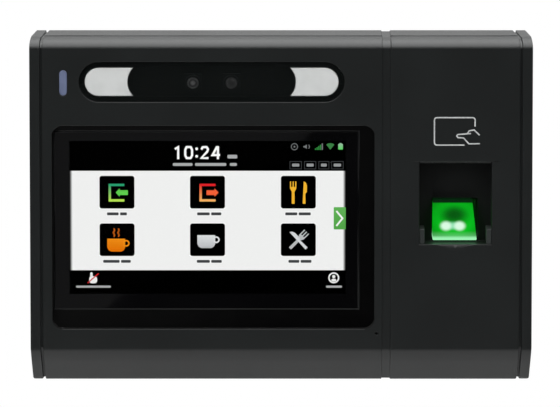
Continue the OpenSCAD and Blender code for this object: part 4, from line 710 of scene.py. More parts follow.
def flat_cable(name, film_dark, film_light, wire, pitch, along, line_start):
    """Flat cable: conductors side by side under a film"""
    material, tree, shader = new_material(name)
    # A wave texture of scale 0.314 has one band to the metre
    wires = add_node(tree, "ShaderNodeTexWave", {"Vector": object_place(tree),
                                                 "Scale": 0.314 / pitch},
                     bands_direction=along).outputs["Fac"]
    line = spread(tree, wires, 0.0, 1.0, line_start, line_start + 0.15)
    film = clouded(tree, 150.0, film_dark, film_light)
    fill(tree, shader, {"Base Color": mixed(tree, line, film, wire),
                        "Roughness": spread(tree, noise(tree, 500.0), 0.3, 0.45),
                        "Normal": bump(tree, line, 0.5, 0.00005)})
    return material


amber_cable = flat_cable("polyimide_cable", paint(150, 84, 22), paint(172, 104, 34),
                         paint(196, 140, 70), 0.0005, "X", 0.4)
dress("display_ribbon", amber_cable)
dress("camera_ribbon", amber_cable)
dress("link_ribbon", flat_cable("white_cable", paint(196, 198, 202), paint(212, 214, 217),
                                paint(160, 164, 170), 0.001, "Z", 0.6))
dress("antenna_coil", bare_metal("coil_copper", paint(176, 104, 66), paint(206, 132, 88),
                                 0.3, 0.45))


def block_tree():
    """A little block at every point, along its direction: a leg, a small part or a part's end"""
    t = Tree("small_board_part", "Parts", Places="Geometry", Size="Vector", Finish="Material")
    block = t.node("GeometryNodeMeshCube", {"Size": t["Size"]})
    way = t.node("GeometryNodeInputNamedAttribute", {"Name": "points_to"}, data_type="FLOAT_VECTOR")
    turn = t.node("FunctionNodeAlignRotationToVector", {"Vector": way}, axis="X")
    t.finish(t.node("GeometryNodeInstanceOnPoints", {"Points": t["Places"], "Instance": block,
                                                     "Rotation": turn}))
    return t


blocks = block_tree()
board_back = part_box("main_board")[1].y
# Legs stand out from two sides of every chip but the processor, which lies between these places,
# under its shield, and has its contacts beneath it
NO_LEGS = (-0.03, 0.0)
LEGS, LEG_OUT, LEG_SIZE = 8, 0.0004, (0.0012, 0.0003, 0.0005)
chip_legs = []
for part in loose_parts("board_chips"):
    middle, size = middle_of(part)
    if not NO_LEGS[0] < middle.x < NO_LEGS[1]:
        for side in (-1.0, 1.0):
            for i in range(LEGS):
                x = middle.x + side * (size.x / 2 + LEG_OUT)
                z = middle.z + (i - (LEGS - 1) / 2) * size.z * 0.11
                chip_legs.append(((x, board_back + 0.0002, z), (side, 0.0, 0.0)))
finish_piece(made_by(blocks, "chip_legs", chip_legs, {"Size": LEG_SIZE, "Finish": tin}), tin, None,
             "bright_metal")

# Small ceramic parts in rows beside the chips, some of them left out and some turned upright
ceramic, tree, shader = new_material("ceramic_chip")
speckle = noise(tree, 2500.0)
fill(tree, shader, {"Base Color": two_tone(tree, noise(tree, 300.0, 1.0), paint(52, 44, 38),
                                           paint(138, 110, 78), 0.45, 0.55),
                    "Roughness": spread(tree, speckle, 0.4, 0.6),
                    "Normal": bump(tree, speckle, 0.3, 0.00002)})
PART_SIZE, END_SIZE, END_OUT = (0.0010, 0.0006, 0.0006), (0.0003, 0.00062, 0.00066), 0.0006
PITCH_X, PITCH_Z = 0.0024, 0.0028
ceramic_parts = []
for x0, z0, across, up in ((-0.058, 0.002, 5, 9), (0.012, 0.000, 7, 4), (-0.030, 0.046, 8, 3),
                           (0.078, 0.030, 9, 4), (0.078, 0.068, 9, 2)):
    for i in range(across):
        for j in range(up):
            if (i * 7 + j * 5) % 4:
                way = (1.0, 0.0, 0.0) if (i + j) % 3 else (0.0, 0.0, 1.0)
                place = (x0 + i * PITCH_X, board_back + 0.0003, z0 + j * PITCH_Z)
                ceramic_parts.append((place, way))
finish_piece(made_by(blocks, "ceramic_parts", ceramic_parts,
                     {"Size": PART_SIZE, "Finish": ceramic}), ceramic, None, "dark_plastic")
ends = [([at + side * END_OUT * share for at, share in zip(place, way)], way)
        for place, way in ceramic_parts for side in (-1.0, 1.0)]
finish_piece(made_by(blocks, "ceramic_part_ends", ends, {"Size": END_SIZE, "Finish": tin}),
             tin, None, "bright_metal")


# Under the foot: the service socket behind its hinged flap, the reset button over its switch, and
# the tamper plunger that the wall plate pushes in. All are moulded but the socket's metal shell.
dressed("usb_port", 0.00015, nickel, "bright_metal")
flap_plastic = moulded_plastic("flap_plastic", paint(24, 26, 27), paint(30, 32, 33), 0.45, 0.58,
                               0.0005, 0.00006)
button_plastic = moulded_plastic("button_plastic", paint(58, 60, 62), paint(70, 72, 74), 0.38, 0.5,
                                 0.0005, 0.00005)
plunger_nylon = moulded_plastic("plunger_nylon", paint(204, 204, 196), paint(220, 220, 213),
                                0.35, 0.5, 0.0006, 0.00004)
dressed("usb_flap", 0.00025, flap_plastic, "dark_plastic", "usb_flap", all_edges=True)
dressed("reset_button", 0.0002, button_plastic, "dark_plastic", "reset_button", all_edges=True)
dressed("tamper_plunger", 0.0002, plunger_nylon, "light_plastic", "tamper_plunger", all_edges=True)
dress("reset_switch", socket_black)
dress("tamper_switch", socket_black)


# The speaker: a moulded basket with a dark paper cone, pressed in rings. It sits in a ring on the
# floor of the reader's rear housing, over its holes.
cone, tree, shader = new_material("speaker_cone")
fill(tree, shader, {"Base Color": clouded(tree, 400.0, paint(24, 24, 26), paint(40, 40, 42), 4.0),
                    "Roughness": spread(tree, noise(tree, 1500.0), 0.6, 0.8),
                    "Normal": bump(tree, rings_round(tree, "speaker", "Z", 330.0), 0.6, 0.0002)})
dress("speaker", cone)


# The microphone: a small drawn metal can, pushed into a soft rubber boot that seals it behind its
# hole in the front cover.
dress("microphone", nickel)
dress("microphone_boot", seal_rubber)


# The display: a glass panel in a folded steel frame, on a galvanised bracket that also carries the
# main board. The panel's own face is black where it isn't lit.
galvanised, tree, shader = new_material("galvanised_steel")
crystals = add_node(tree, "ShaderNodeTexVoronoi", {"Vector": object_place(tree), "Scale": 160.0})
spangle = crystals.outputs["Color"]
fill(tree, shader, {"Base Color": two_tone(tree, spangle, paint(140, 144, 148),
                                           paint(182, 185, 187), 0.2, 0.8),
                    "Roughness": spread(tree, spangle, 0.3, 0.55, 0.1, 0.9),
                    "Normal": bump(tree, noise(tree, 600.0), 0.2, 0.00003), "Metallic": 1.0})
dress("display_bracket", galvanised)
dress("lcd_frame", tin)

panel_glass, tree, shader = new_material("panel_glass")
fill(tree, shader, {"Base Color": clouded(tree, 30.0, paint(4, 4, 5), paint(8, 8, 10)),
                    "Roughness": spread(tree, noise(tree, 200.0), 0.1, 0.16)})
dress("lcd_cell", panel_glass)


# What the display shows: a plain clock page with six tiles, in light of its own. Each shape is a
# flat face with a colour at every corner, laid a hair in front of the last. Its sizes are in
# millimetres from the page's middle.

# How far each layer of a picture lies in front of the last
LAYER = 0.00004


def circle_of(x, z, radius, squeeze=1.0, sides=24):
    """The points of a circle about a place, squeezed in its height"""
    return [(x + radius * math.cos(2 * math.pi * i / sides),
             z + radius * squeeze * math.sin(2 * math.pi * i / sides)) for i in range(sides)]


def shades(points, colour, top_colour):
    """A colour for each point, from one at the lowest to another, if any, at the highest"""
    low = min(up for across, up in points)
    tall = max(max(up for across, up in points) - low, 0.001)
    return [[a + (b - a) * ((up - low) / tall) for a, b in zip(colour, top_colour or colour)]
            for across, up in points]


class Picture:
    """A flat picture that is built up face by face on a surface"""
    def __init__(self, origin, front_y):
        self.origin = origin
        self.front_y = front_y
        self.points = []
        self.faces = []
        self.colours = []

    def face(self, outline, layer, colours):
        """A face with this outline of (across, up), either way round, and its points' colours"""
        area = sum(a[0] * b[1] - b[0] * a[1] for a, b in zip(outline, outline[1:] + outline[:1]))
        if area < 0.0:
            outline, colours = outline[::-1], colours[::-1]
        start = len(self.points)
        self.points += [(self.origin.x + across / 1000.0, self.front_y - layer * LAYER,
                         self.origin.z + up / 1000.0) for across, up in outline]
        self.colours += colours
        self.faces.append(list(range(start, len(self.points))))

    def shape(self, outline, layer, colour, top_colour=None):
        """A face in one colour, or shaded up to another"""
        self.face(outline, layer, shades(outline, colour, top_colour))

    def box(self, x0, x1, z0, z1, layer, colour, top_colour=None, radius=0.0):
        """An upright rectangle, with rounded corners if it has a radius"""
        outline = [(x0, z0), (x1, z0), (x1, z1), (x0, z1)]
        if radius:
            outline = []
            for cx, cz, start in ((x1 - radius, z0 + radius, 270), (x1 - radius, z1 - radius, 0),
                                  (x0 + radius, z1 - radius, 90), (x0 + radius, z0 + radius, 180)):
                for step in range(5):
                    angle = math.radians(start + step * 22.5)
                    outline.append((cx + radius * math.cos(angle), cz + radius * math.sin(angle)))
        self.shape(outline, layer, colour, top_colour)

    def disc(self, x, z, radius, layer, colour, squeeze=1.0):
        """A filled circle, or an oval if it is squeezed"""
        self.shape(circle_of(x, z, radius, squeeze), layer, colour)

    def ring(self, x, z, radius, width, layer, colour, sides=24):
        """The line of a circle"""
        self.line(circle_of(x, z, radius, sides=sides), width, layer, colour, closed=True)

    def line(self, path, width, layer, colour, top_colour=None, closed=False):
        """A stroke of even width along a path, mitred at its bends"""
        count = len(path)
        tones = shades(path, colour, top_colour)
        sides = []
        for i, (x, z) in enumerate(path):
            ways = []
            for at in (i - 1, i):
                if closed or 0 <= at < count - 1:
                    a, b = path[at], path[(at + 1) % count]
                    length = math.hypot(b[0] - a[0], b[1] - a[1])
                    ways.append(((b[0] - a[0]) / length, (b[1] - a[1]) / length))
            normal = [-(ways[0][1] + ways[-1][1]) / 2, (ways[0][0] + ways[-1][0]) / 2]
            # A mitre reaches out by the square of the normal's length, but to 4 times at the most
            size = max(normal[0] ** 2 + normal[1] ** 2, 0.25)
            out, up = normal[0] / size * width / 2, normal[1] / size * width / 2
            sides.append(((x + out, z + up), (x - out, z - up)))
        for i in range(count if closed else count - 1):
            ahead = (i + 1) % count
            (a, b), (c, d) = sides[i], sides[ahead]
            self.face([a, b, d, c], layer, [tones[i], tones[i], tones[ahead], tones[ahead]])

    def made(self, name):
        """The picture as a piece, its colours kept on its points"""
        mesh = bpy.data.meshes.new(name)
        mesh.from_pydata(self.points, [], self.faces)
        paints = mesh.color_attributes.new("picture_colour", "FLOAT_COLOR", "POINT")
        for i, colour in enumerate(self.colours):
            paints.data[i].color = colour
        piece = bpy.data.objects.new(name, mesh)
        scene.collection.objects.link(piece)
        return piece


lit, tree, shader = new_material("lit_picture")
shade = add_node(tree, "ShaderNodeAttribute", attribute_name="picture_colour")
even = add_node(tree, "ShaderNodeVectorMath", {0: shade.outputs["Color"], "Scale": spread(
    tree, noise(tree, 1800.0, 1.0), 0.97, 1.0)}, operation="SCALE")
fill(tree, shader, {"Emission Color": even.outputs[0], "Emission Strength": 1.0,
                    "Base Color": (0.0, 0.0, 0.0, 1.0), "Specular IOR Level": 0.0})

BLACK, WHITE, INK = paint(0, 0, 0), paint(245, 245, 245), paint(66, 68, 70)
GREY, PALE = paint(120, 122, 124), paint(172, 173, 175)
SIGN_WHITE, SOFT_WHITE, DIM_WHITE = paint(252, 252, 252), paint(238, 238, 238), paint(236, 236, 236)
lcd_front = surface_of(nodes["lcd_cell"])
picture_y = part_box("lcd_cell")[0].y - 0.0001
HALF_W, HALF_H, HEADER, FOOTER = 76.9, 42.8, 25.8, -30.2
page = Picture(seen_on("screen_picture", lcd_front), picture_y)
page.box(-HALF_W, HALF_W, -HALF_H, HALF_H, 0, BLACK)
page.box(-HALF_W + 0.5, HALF_W - 0.5, FOOTER, HEADER - 0.4, 1, WHITE)
page.box(-HALF_W, HALF_W, HEADER - 0.9, HEADER, 1.5, paint(250, 250, 250))
# The white page darkens towards both sides in narrow steps, a painted shade from the border's edge
STEP = 0.35
for side in (-1, 1):
    for steps, level in enumerate((70, 130, 185, 222)):
        x0, x1 = sorted((side * (HALF_W - STEP * steps), side * (HALF_W - STEP * (steps + 1))))
        page.box(x0, x1, FOOTER, HEADER, 2, paint(level, level, level))

# The clock: four plain numerals and a colon
NUMERALS = {
    "0": [(-1.9, 0.0), (-1.9, 1.6), (-1.1, 3.1), (1.1, 3.1), (1.9, 1.6), (1.9, -1.6), (1.1, -3.1),
          (-1.1, -3.1), (-1.9, -1.6), (-1.9, 0.0)],
    "1": [(-1.3, 1.9), (0.5, 3.1), (0.5, -3.7)],
    "2": [(-1.9, 1.7), (-1.1, 3.0), (1.0, 3.1), (1.8, 1.9), (1.4, 0.5), (-1.9, -3.1), (2.1, -3.1)],
    "4": [(1.0, -3.7), (1.0, 3.0), (0.4, 3.0), (-2.0, -1.4), (2.2, -1.4)],
}
CLOCK_LEFT, CLOCK_Z, DIGIT_STEP, COLON_STEP = -16.9, 36.1, 6.35, 2.6
x = CLOCK_LEFT
for sign in "10:24":
    if sign == ":":
        for z in (34.0, 38.2):
            page.disc(x - 1.9, z, 0.8, 2, SIGN_WHITE)
        x += COLON_STEP
    else:
        page.line([(x + across, CLOCK_Z + up) for across, up in NUMERALS[sign]], 1.25, 2,
                  SIGN_WHITE)
        x += DIGIT_STEP

# Small grey bars stand where such a page has its words
page.box(11.1, 16.5, 32.8, 34.8, 2, PALE, radius=0.5)
for x0, x1 in ((-19.4, -8.4), (-7.0, 10.4), (12.4, 16.3)):
    page.box(x0, x1, 28.6, 30.2, 2, PALE, radius=0.6)
for x0, x1 in ((45.9, 52.3), (54.0, 60.3), (62.0, 67.6), (69.1, 75.6)):
    page.line([(x0, 26.9), (x1, 26.9), (x1, 31.1), (x0, 31.1)], 0.35, 2, paint(60, 62, 64),
              closed=True)
    page.box(x0 + 1.2, x1 - 1.2, 28.2, 29.9, 2, paint(150, 152, 154), radius=0.4)

# The row of little signs: a ring, a speaker, signal bars, a fan of waves and a battery
page.ring(48.4, 39.4, 1.75, 0.4, 2, GREY)
page.disc(48.4, 39.4, 0.5, 2, GREY)
page.shape([(53.4, 39.0), (54.2, 39.0), (55.3, 38.1), (55.3, 40.7), (54.2, 39.8), (53.4, 39.8)],
           2, GREY)
page.line([(56.4, 38.3), (56.8, 39.4), (56.4, 40.5)], 0.4, 2, GREY)
for i in range(5):
    page.box(59.8 + i * 0.95, 60.45 + i * 0.95, 37.6, 38.4 + i * 0.7, 2,
             paint(52, 140, 66) if i < 4 else GREY)
page.shape([(68.4, 37.7), (70.7, 40.6), (69.7, 41.2), (68.4, 41.4), (67.1, 41.2), (66.1, 40.6)], 2,
           paint(60, 128, 70))
page.box(72.8, 75.4, 37.8, 41.0, 2, paint(90, 214, 96), paint(150, 190, 160), radius=0.3)
page.box(73.5, 74.7, 41.0, 41.4, 2, paint(150, 190, 160))

# Six rounded tiles with two short bars below each
TILE_X, TILE_Z, TILE_HALF_W, TILE_HALF_H = (-50.6, -0.1, 50.6), (13.8, -13.0), 9.75, 9.2
# The bars below the tiles: where each starts and ends, where its gap is, and how far down it lies
LABELS = ((-56.2, -45.1), (-5.9, 7.6), (43.3, 57.5)), ((-58.4, -43.0), (-6.1, 7.8), (45.1, 57.9))
LABEL_GAP, LABEL_LOW, LABEL_TOP = (0.62, 0.55, 0.5), -13.0, -11.4
for row, tile_z in enumerate(TILE_Z):
    for column, tile_x in enumerate(TILE_X):
        page.box(tile_x - TILE_HALF_W, tile_x + TILE_HALF_W,
                 tile_z - TILE_HALF_H, tile_z + TILE_HALF_H, 3, BLACK, radius=1.4)
        x0, x1 = LABELS[row][column]
        gap = x0 + (x1 - x0) * LABEL_GAP[column]
        for start, end in ((x0, gap - 0.4), (gap + 0.4, x1)):
            page.box(start, end, tile_z + LABEL_LOW, tile_z + LABEL_TOP, 3, INK, radius=0.5)

# On the tiles: an arrow into a frame, one out of a frame, a fork and knife, a cup that steams, a
# plain cup, and a fork and knife crossed
TEAL, LIME = paint(42, 157, 111), paint(182, 224, 84)
RED, ORANGE = paint(221, 34, 40), paint(245, 178, 100)
page.line([(-46.5, 17.9), (-54.6, 17.9), (-54.6, 9.2), (-46.5, 9.2)], 1.35, 4, LIME, TEAL)
page.shape([(-51.3, 13.6), (-49.1, 16.0), (-49.1, 14.9), (-44.5, 14.9), (-44.5, 12.2),
            (-49.1, 12.2), (-49.1, 11.2)], 4, paint(96, 205, 80))
page.line([(4.4, 17.9), (-3.9, 17.9), (-3.9, 9.2), (4.4, 9.2)], 1.35, 4, ORANGE, RED)
page.shape([(6.1, 13.6), (3.8, 16.0), (3.8, 14.9), (-0.6, 14.9), (-0.6, 12.2), (3.8, 12.2),
            (3.8, 11.2)], 4, paint(244, 98, 56))


def turned_shape(page, outline, x, z, size, colour, tilt):
    """A shape on the page, sized and turned about its middle"""
    cos, sin = math.cos(math.radians(tilt)), math.sin(math.radians(tilt))
    turned = [(x + size * (a * cos - b * sin), z + size * (a * sin + b * cos)) for a, b in outline]
    page.shape(turned, 4, colour)


FORK_SIDE = [(0.8, -6.3), (0.75, 0.4), (1.75, 2.3), (1.75, 6.3), (1.15, 6.3), (1.15, 3.2),
             (0.3, 3.2), (0.3, 6.3)]
FORK = FORK_SIDE + [(-a, b) for a, b in reversed(FORK_SIDE)]
KNIFE = [(-0.9, -6.3), (0.7, -6.3), (0.6, -0.6), (1.4, 0.2), (1.5, 3.9), (0.9, 5.6), (-0.3, 6.3)]
AMBER = paint(245, 184, 50)
turned_shape(page, FORK, 47.7, 13.6, 1.0, AMBER, 0.0)
turned_shape(page, KNIFE, 53.9, 13.6, 1.0, AMBER, 0.0)
turned_shape(page, FORK, 50.6, -13.2, 1.05, paint(186, 188, 190), -45.0)
turned_shape(page, KNIFE, 50.6, -13.2, 1.05, paint(214, 216, 218), 45.0)


def cup(page, x, z, colour, low_colour):
    """A cup from the side, with its handle's ring at the right"""
    bowl = [(-5.0, 3.6), (-5.0, -1.4), (-4.2, -2.9), (-2.8, -3.7), (2.8, -3.7), (4.2, -2.9),
            (5.0, -1.4), (5.0, 3.6)]
    page.shape([(x + a, z + b) for a, b in bowl], 4, low_colour, colour)
    page.ring(x + 5.6, z + 1.0, 1.5, 0.8, 4, colour, 16)


cup(page, -51.1, -16.0, paint(240, 142, 22), paint(226, 112, 4))
for x in (-52.4, -49.9):
    page.line([(x, -11.4), (x + 0.5, -10.3), (x - 0.4, -9.0), (x + 0.5, -7.8), (x, -6.6)], 0.7, 4,
              paint(188, 92, 20))
cup(page, -0.8, -14.0, paint(226, 228, 230), paint(186, 188, 192))

# The footer: a pointing hand struck through, and a person's sign, each over its bar
page.box(-65.7, -64.3, -35.0, -31.4, 3, SOFT_WHITE, radius=0.65)
page.box(-66.3, -61.8, -37.6, -33.6, 3, SOFT_WHITE, radius=1.5)
page.line([(-61.0, -32.0), (-67.2, -37.5)], 0.6, 4, paint(214, 40, 44))
page.box(-73.6, -54.2, -40.1, -38.9, 3, PALE, radius=0.5)
page.ring(70.4, -34.5, 2.7, 0.8, 3, DIM_WHITE)
page.disc(70.4, -33.8, 0.9, 3, DIM_WHITE)
page.disc(70.4, -35.8, 1.4, 3, DIM_WHITE, 0.6)
page.box(66.1, 75.0, -40.1, -38.9, 3, PALE, radius=0.5)
screen_page = finish_piece(page.made("screen_page"), lit, None, "display")

# The side tab: a green handle with a chevron at the right edge of the page
tab = Picture(seen_on("side_tab", lcd_front), picture_y)
tab.box(-3.4, 3.3, -6.3, 6.3, 3, paint(84, 166, 74), paint(98, 180, 88), radius=0.5)
tab.line([(-1.9, 4.1), (1.5, 0.0), (-1.9, -4.3)], 1.0, 4, paint(244, 248, 244))
finish_piece(tab.made("screen_side_tab"), lit, None, "display")


# The fingerprint sensor: a moulded box with a board, four green lamps and a camera chip at its
# back, and a clear prism in front whose leaning face is where the finger rests, lit green inside.
def glowing(name, dark, light, strength):
    """A lamp body that is lit"""
    material, tree, shader = new_material(name)
    cloudy = clouded(tree, 900.0, dark, light)
    fill(tree, shader, {"Emission Color": cloudy, "Base Color": cloudy,
                        "Emission Strength": strength,
                        "Roughness": spread(tree, noise(tree, 500.0), 0.2, 0.35)})
    return material


dress("sensor_housing", socket_black)
dress("sensor_imager", chip_black)
dress("sensor_leds", glowing("green_lamp", paint(60, 220, 90), paint(150, 250, 160), 1.0))

# The well, whose cheeks beside the window get a paler copy of its plastic, a painted highlight
# where they catch the light. These are the limits
# between which its faces are the cheeks: across from its middle, up, and how far forward.
CHEEK_IN, CHEEK_OUT, CHEEK_LOW, CHEEK_TOP, CHEEK_Y = 0.0166, 0.0202, -0.0188, -0.0097, -0.0262
well_plastic = moulded_plastic("well_plastic", paint(7, 10, 9), paint(11, 14, 13), 0.5, 0.62,
                               0.0005, 0.00006, 0.3)
# A paler copy of the well's plastic: a painted highlight on the cheeks beside the window
cheek_painted_highlight = moulded_plastic("cheek_painted_highlight", paint(36, 40, 39), paint(46, 50, 49), 0.4, 0.52,
                                0.0005, 0.00005)
WELL_SIDE = 0.025
well = rounded_copy("finger_well", "look_finger_well", 0.0003,
                    [("x", READER_X + off) for off in (0.0, -WELL_SIDE, WELL_SIDE)])
well.data.materials.append(well_plastic)
well.data.materials.append(cheek_painted_highlight)
for polygon in well.data.polygons:
    x, y, z = polygon.center
    if y < CHEEK_Y and CHEEK_LOW < z < CHEEK_TOP and CHEEK_IN < abs(x - READER_X) < CHEEK_OUT:
        polygon.material_index = 1
finish_piece(well, well_plastic, "finger_well", "dark_plastic")

# The prism, with its face unwrapped so that the light's pattern lies on it. The face leans back as
# it goes up, and its outline is given in shares of the CAD solid's width and height.
FACE_OUTLINE = ((0.0004, 0.0), (0.9685, 0.0), (0.875, 1.0), (0.012, 1.0))
FACE_LEAN = 0.01
low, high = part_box("sensor_prism")
prism_front = low.y
size = high - low
bm = bmesh.new()
front = [bm.verts.new((low.x + u * size.x, low.y + FACE_LEAN * v, low.z + v * size.z))
         for u, v in FACE_OUTLINE]
back = [bm.verts.new((vertex.co.x, high.y, vertex.co.z)) for vertex in front]
bm.faces.new(front)
bm.faces.new(back[::-1])
for i in range(4):
    bm.faces.new((front[(i + 1) % 4], front[i], back[i], back[(i + 1) % 4]))
bmesh.ops.recalc_face_normals(bm, faces=bm.faces)
unwrap = bm.loops.layers.uv.new("window")
for face in bm.faces:
    for loop in face.loops:
        loop[unwrap].uv = ((loop.vert.co.x - low.x) / size.x, (loop.vert.co.z - low.z) / size.z)
bmesh.ops.bevel(bm, geom=bm.edges, offset=0.0003, segments=2, affect="EDGES")
prism_mesh = bpy.data.meshes.new("lit_prism")
bm.to_mesh(prism_mesh)
bm.free()
prism = bpy.data.objects.new("lit_prism", prism_mesh)
scene.collection.objects.link(prism)

glow_glass, tree, shader = new_material("glowing_prism")
unwrapped = add_node(tree, "ShaderNodeUVMap", uv_map="window").outputs[0]
height = add_node(tree, "ShaderNodeSeparateXYZ", {0: unwrapped}).outputs["Y"]


def soft_spot(across, up, half_w, half_h, sharp=1.0):
    """1 in the middle of an oval on the window, falling softly to 0 at its edge"""
    centre = add_node(tree, "ShaderNodeMapping", {
        "Vector": unwrapped, "Location": (across, up, 0.0), "Scale": (half_w, half_h, 1.0)},
        vector_type="TEXTURE")
    fall = add_node(tree, "ShaderNodeTexGradient", {"Vector": centre.outputs[0]},
                    gradient_type="SPHERICAL")
    return add_node(tree, "ShaderNodeMapRange", {"Value": fall.outputs["Fac"], "From Max": sharp},
                    interpolation_type="SMOOTHERSTEP").outputs[0]


# Painted light: the prism's own glow stands in for the green lamps' light in it, from its dark
# green ground to the two bright lamp spots in its middle, with a dark oval of painted shade and a
# pale band, then the pale lower edge, a painted highlight, and the dark upper one, painted shade
LAMP_GREEN = paint(218, 250, 226)
green = two_tone(tree, soft_spot(0.5, 0.5, 0.9, 0.9), paint(0, 124, 8), paint(0, 186, 24),
                 0.05, 0.7)
for spot, tone in ((soft_spot(0.48, 0.62, 0.52, 0.38, 0.95), paint(0, 84, 6)),
                   (soft_spot(0.45, 0.35, 0.34, 0.14, 0.9), paint(142, 224, 176)),
                   (soft_spot(0.295, 0.345, 0.18, 0.165, 0.75), LAMP_GREEN),
                   (soft_spot(0.595, 0.345, 0.18, 0.165, 0.75), LAMP_GREEN),
                   (spread(tree, height, 0.3, 0.0, 0.1, 0.22), paint(150, 220, 170)),
                   (spread(tree, height, 1.0, 0.0, 0.05, 0.11), paint(158, 243, 180)),
                   (spread(tree, height, 0.0, 1.0, 0.895, 0.925), paint(0, 26, 4))):
    green = mixed(tree, spot, green, tone)
fill(tree, shader, {"Emission Color": green, "Emission Strength": 1.0, "Specular IOR Level": 0.12,
                    "Base Color": clouded(tree, 300.0, paint(0, 16, 4), paint(0, 24, 6)),
                    "Roughness": spread(tree, noise(tree, 700.0), 0.06, 0.12)})
finish_piece(prism, glow_glass, "sensor_prism", "prism")


# Behind the camera window: two moulded lens barrels with coated glass lenses, and beside them the
# white lamps, six under each diffuser. The small light pipe at the left shows the terminal's state.
barrel_plastic = moulded_plastic("barrel_plastic", paint(30, 31, 33), paint(40, 41, 43), 0.35, 0.5,
                                 0.0004, 0.00004)
dressed("camera_modules", 0.0002, barrel_plastic, "dark_plastic", all_edges=True)

coated, tree, shader = new_material("coated_lens")
toned = add_node(tree, "ShaderNodeVertexColor", layer_name="lens_tone").outputs["Color"]
fill(tree, shader, {"Base Color": mixed(tree, spread(tree, noise(tree, 900.0), 0.0, 0.12), toned,
                                        paint(60, 74, 96)),
                    "Roughness": spread(tree, noise(tree, 400.0), 0.04, 0.1),
                    "Coat Weight": 1.0, "Coat IOR": 2.4, "Specular IOR Level": 0.9})

# From the middle of each lens to its rim: the colour camera's painted glint, a pale spot, and its
# dark iris at the left, and the even coating of the infrared one at the right. Both are paler than
# their glass, partly their coating's tone and partly a painted reflection of the room
LEFT_PAINTED_GLINT_TONES = (255, 255, 190, 90, 170, 200, 204, 204, 204)
RIGHT_PAINTED_SHEEN_TONES = (132, 120, 138, 150, 162, 172, 180, 180, 180)
RINGS, SIDES = 8, 32
# The middle of the window that both lie behind, and the share of a lens's depth that is its rim
WINDOW_X, LENS_RIM = -0.0386, 0.35
around = circle_of(0.0, 0.0, 1.0, sides=SIDES)
dome = [(math.sin(angle), 0.5 - LENS_RIM - (1.0 - LENS_RIM) * math.cos(angle))
        for angle in (math.pi / 2 * (ring + 1) / RINGS for ring in range(RINGS))] + [(1.0, 0.5)]
lens_points, lens_faces, lens_tones = [], [], []
for part in loose_parts("camera_lenses"):
    middle, size = middle_of(part)
    start = len(lens_points)
    for out, back in dome:
        lens_points += [(middle.x + size.x / 2 * out * x, middle.y + size.y * back,
                         middle.z + size.x / 2 * out * z) for x, z in around]
    for ring in range(RINGS):
        for i in range(SIDES):
            a, b = start + ring * SIDES + i, start + ring * SIDES + (i + 1) % SIDES
            lens_faces.append((a + SIDES, b + SIDES, b, a))
    tip = len(lens_points)
    lens_points.append((middle.x, middle.y - size.y / 2, middle.z))
    lens_faces += [(tip, start + i, start + (i + 1) % SIDES) for i in range(SIDES)]
    lens_faces.append([start + RINGS * SIDES + i for i in range(SIDES)][::-1])
    tones = LEFT_PAINTED_GLINT_TONES if middle.x < WINDOW_X else RIGHT_PAINTED_SHEEN_TONES
    for tone in tones[1:] + tones[-1:]:
        lens_tones += [paint(tone, tone, tone)] * SIDES
    lens_tones.append(paint(tones[0], tones[0], tones[0]))
lens_mesh = bpy.data.meshes.new("domed_lenses")
lens_mesh.from_pydata(lens_points, [], lens_faces)
for polygon in lens_mesh.polygons:
    polygon.use_smooth = True
layer = lens_mesh.color_attributes.new("lens_tone", "FLOAT_COLOR", "POINT")
for point, tone in enumerate(lens_tones):
    layer.data[point].color = tone
lens_mesh.set_sharp_from_angle(angle=math.radians(50.0))
lenses = bpy.data.objects.new("domed_lenses", lens_mesh)
scene.collection.objects.link(lenses)
finish_piece(lenses, coated, "camera_lenses", "lens")

dress("lamp_leds", glowing("white_lamp_off", paint(226, 208, 120), paint(240, 228, 160), 0.05))
dress("status_led", glowing("blue_lamp", paint(150, 170, 230), paint(190, 200, 240), 0.4))


def milky(name, dark, light, glow, strength):
    """Milky polycarbonate that scatters the light behind it"""
    material, tree, shader = new_material(name)
    frost = noise(tree, 1800.0, 2.0)
    fill(tree, shader, {"Base Color": clouded(tree, 130.0, dark, light, 2.0),
                        "Roughness": spread(tree, frost, 0.3, 0.42),
                        "Normal": bump(tree, frost, 0.2, 0.00003),
                        "Emission Color": glow, "Emission Strength": strength})
    return material


milky_diffuser = milky("milky_diffuser", paint(200, 202, 201), paint(205, 207, 206),
                       paint(255, 255, 255), 0.0)
milky_pipe = milky("status_light_pipe", paint(90, 98, 120), paint(101, 109, 133),
                   paint(150, 165, 230), 0.05)
dressed("lamp_diffusers", 0.0003, milky_diffuser, "diffuser")
dressed("status_light_pipe", 0.0004, milky_pipe, "diffuser", name="look_status_light")

smoked, tree, shader = new_material("smoked_acrylic")
fill(tree, shader, {"Base Color": clouded(tree, 25.0, paint(4, 9, 8), paint(8, 13, 12)),
                    "Roughness": spread(tree, noise(tree, 60.0), 0.05, 0.09), "Alpha": 0.46})
dressed("camera_window", 0.0003, smoked, "smoked_window", cuts=[("x", WINDOW_X)])


# The case: two front covers, the strip between them and two end caps, all injection moulded in one
# charcoal plastic with a fine matt grain. Screws from the rear hold the covers to the rear shells.
charcoal = moulded_plastic("charcoal_plastic", paint(14, 17, 17), paint(19, 22, 22), 0.42, 0.52,
                           0.0005, 0.00006, 0.35)
CASE_EDGE = 0.0004
FACE_Y, TOP_Z, CHIN_Z, BOTTOM_Z, CORNER_X = -0.0406, 0.097, -0.0773, -0.097, 0.134
# The strip between the covers, and how far it lies back in its channel
STRIP_X, STRIP_HALF, STRIP_INSET = 0.0586, 0.0023, 0.00074
MIC_X, MIC_Z = 0.05325, -0.069
# The shallow dish round the finger opening: its half width and depth, its top, and the heights
# between which it fades out to the face
DISH_HALF, DISH_DEPTH = 0.0265, 0.001
DISH_TOP, DISH_FADE, DISH_END = 0.0285, -0.0188, -0.044
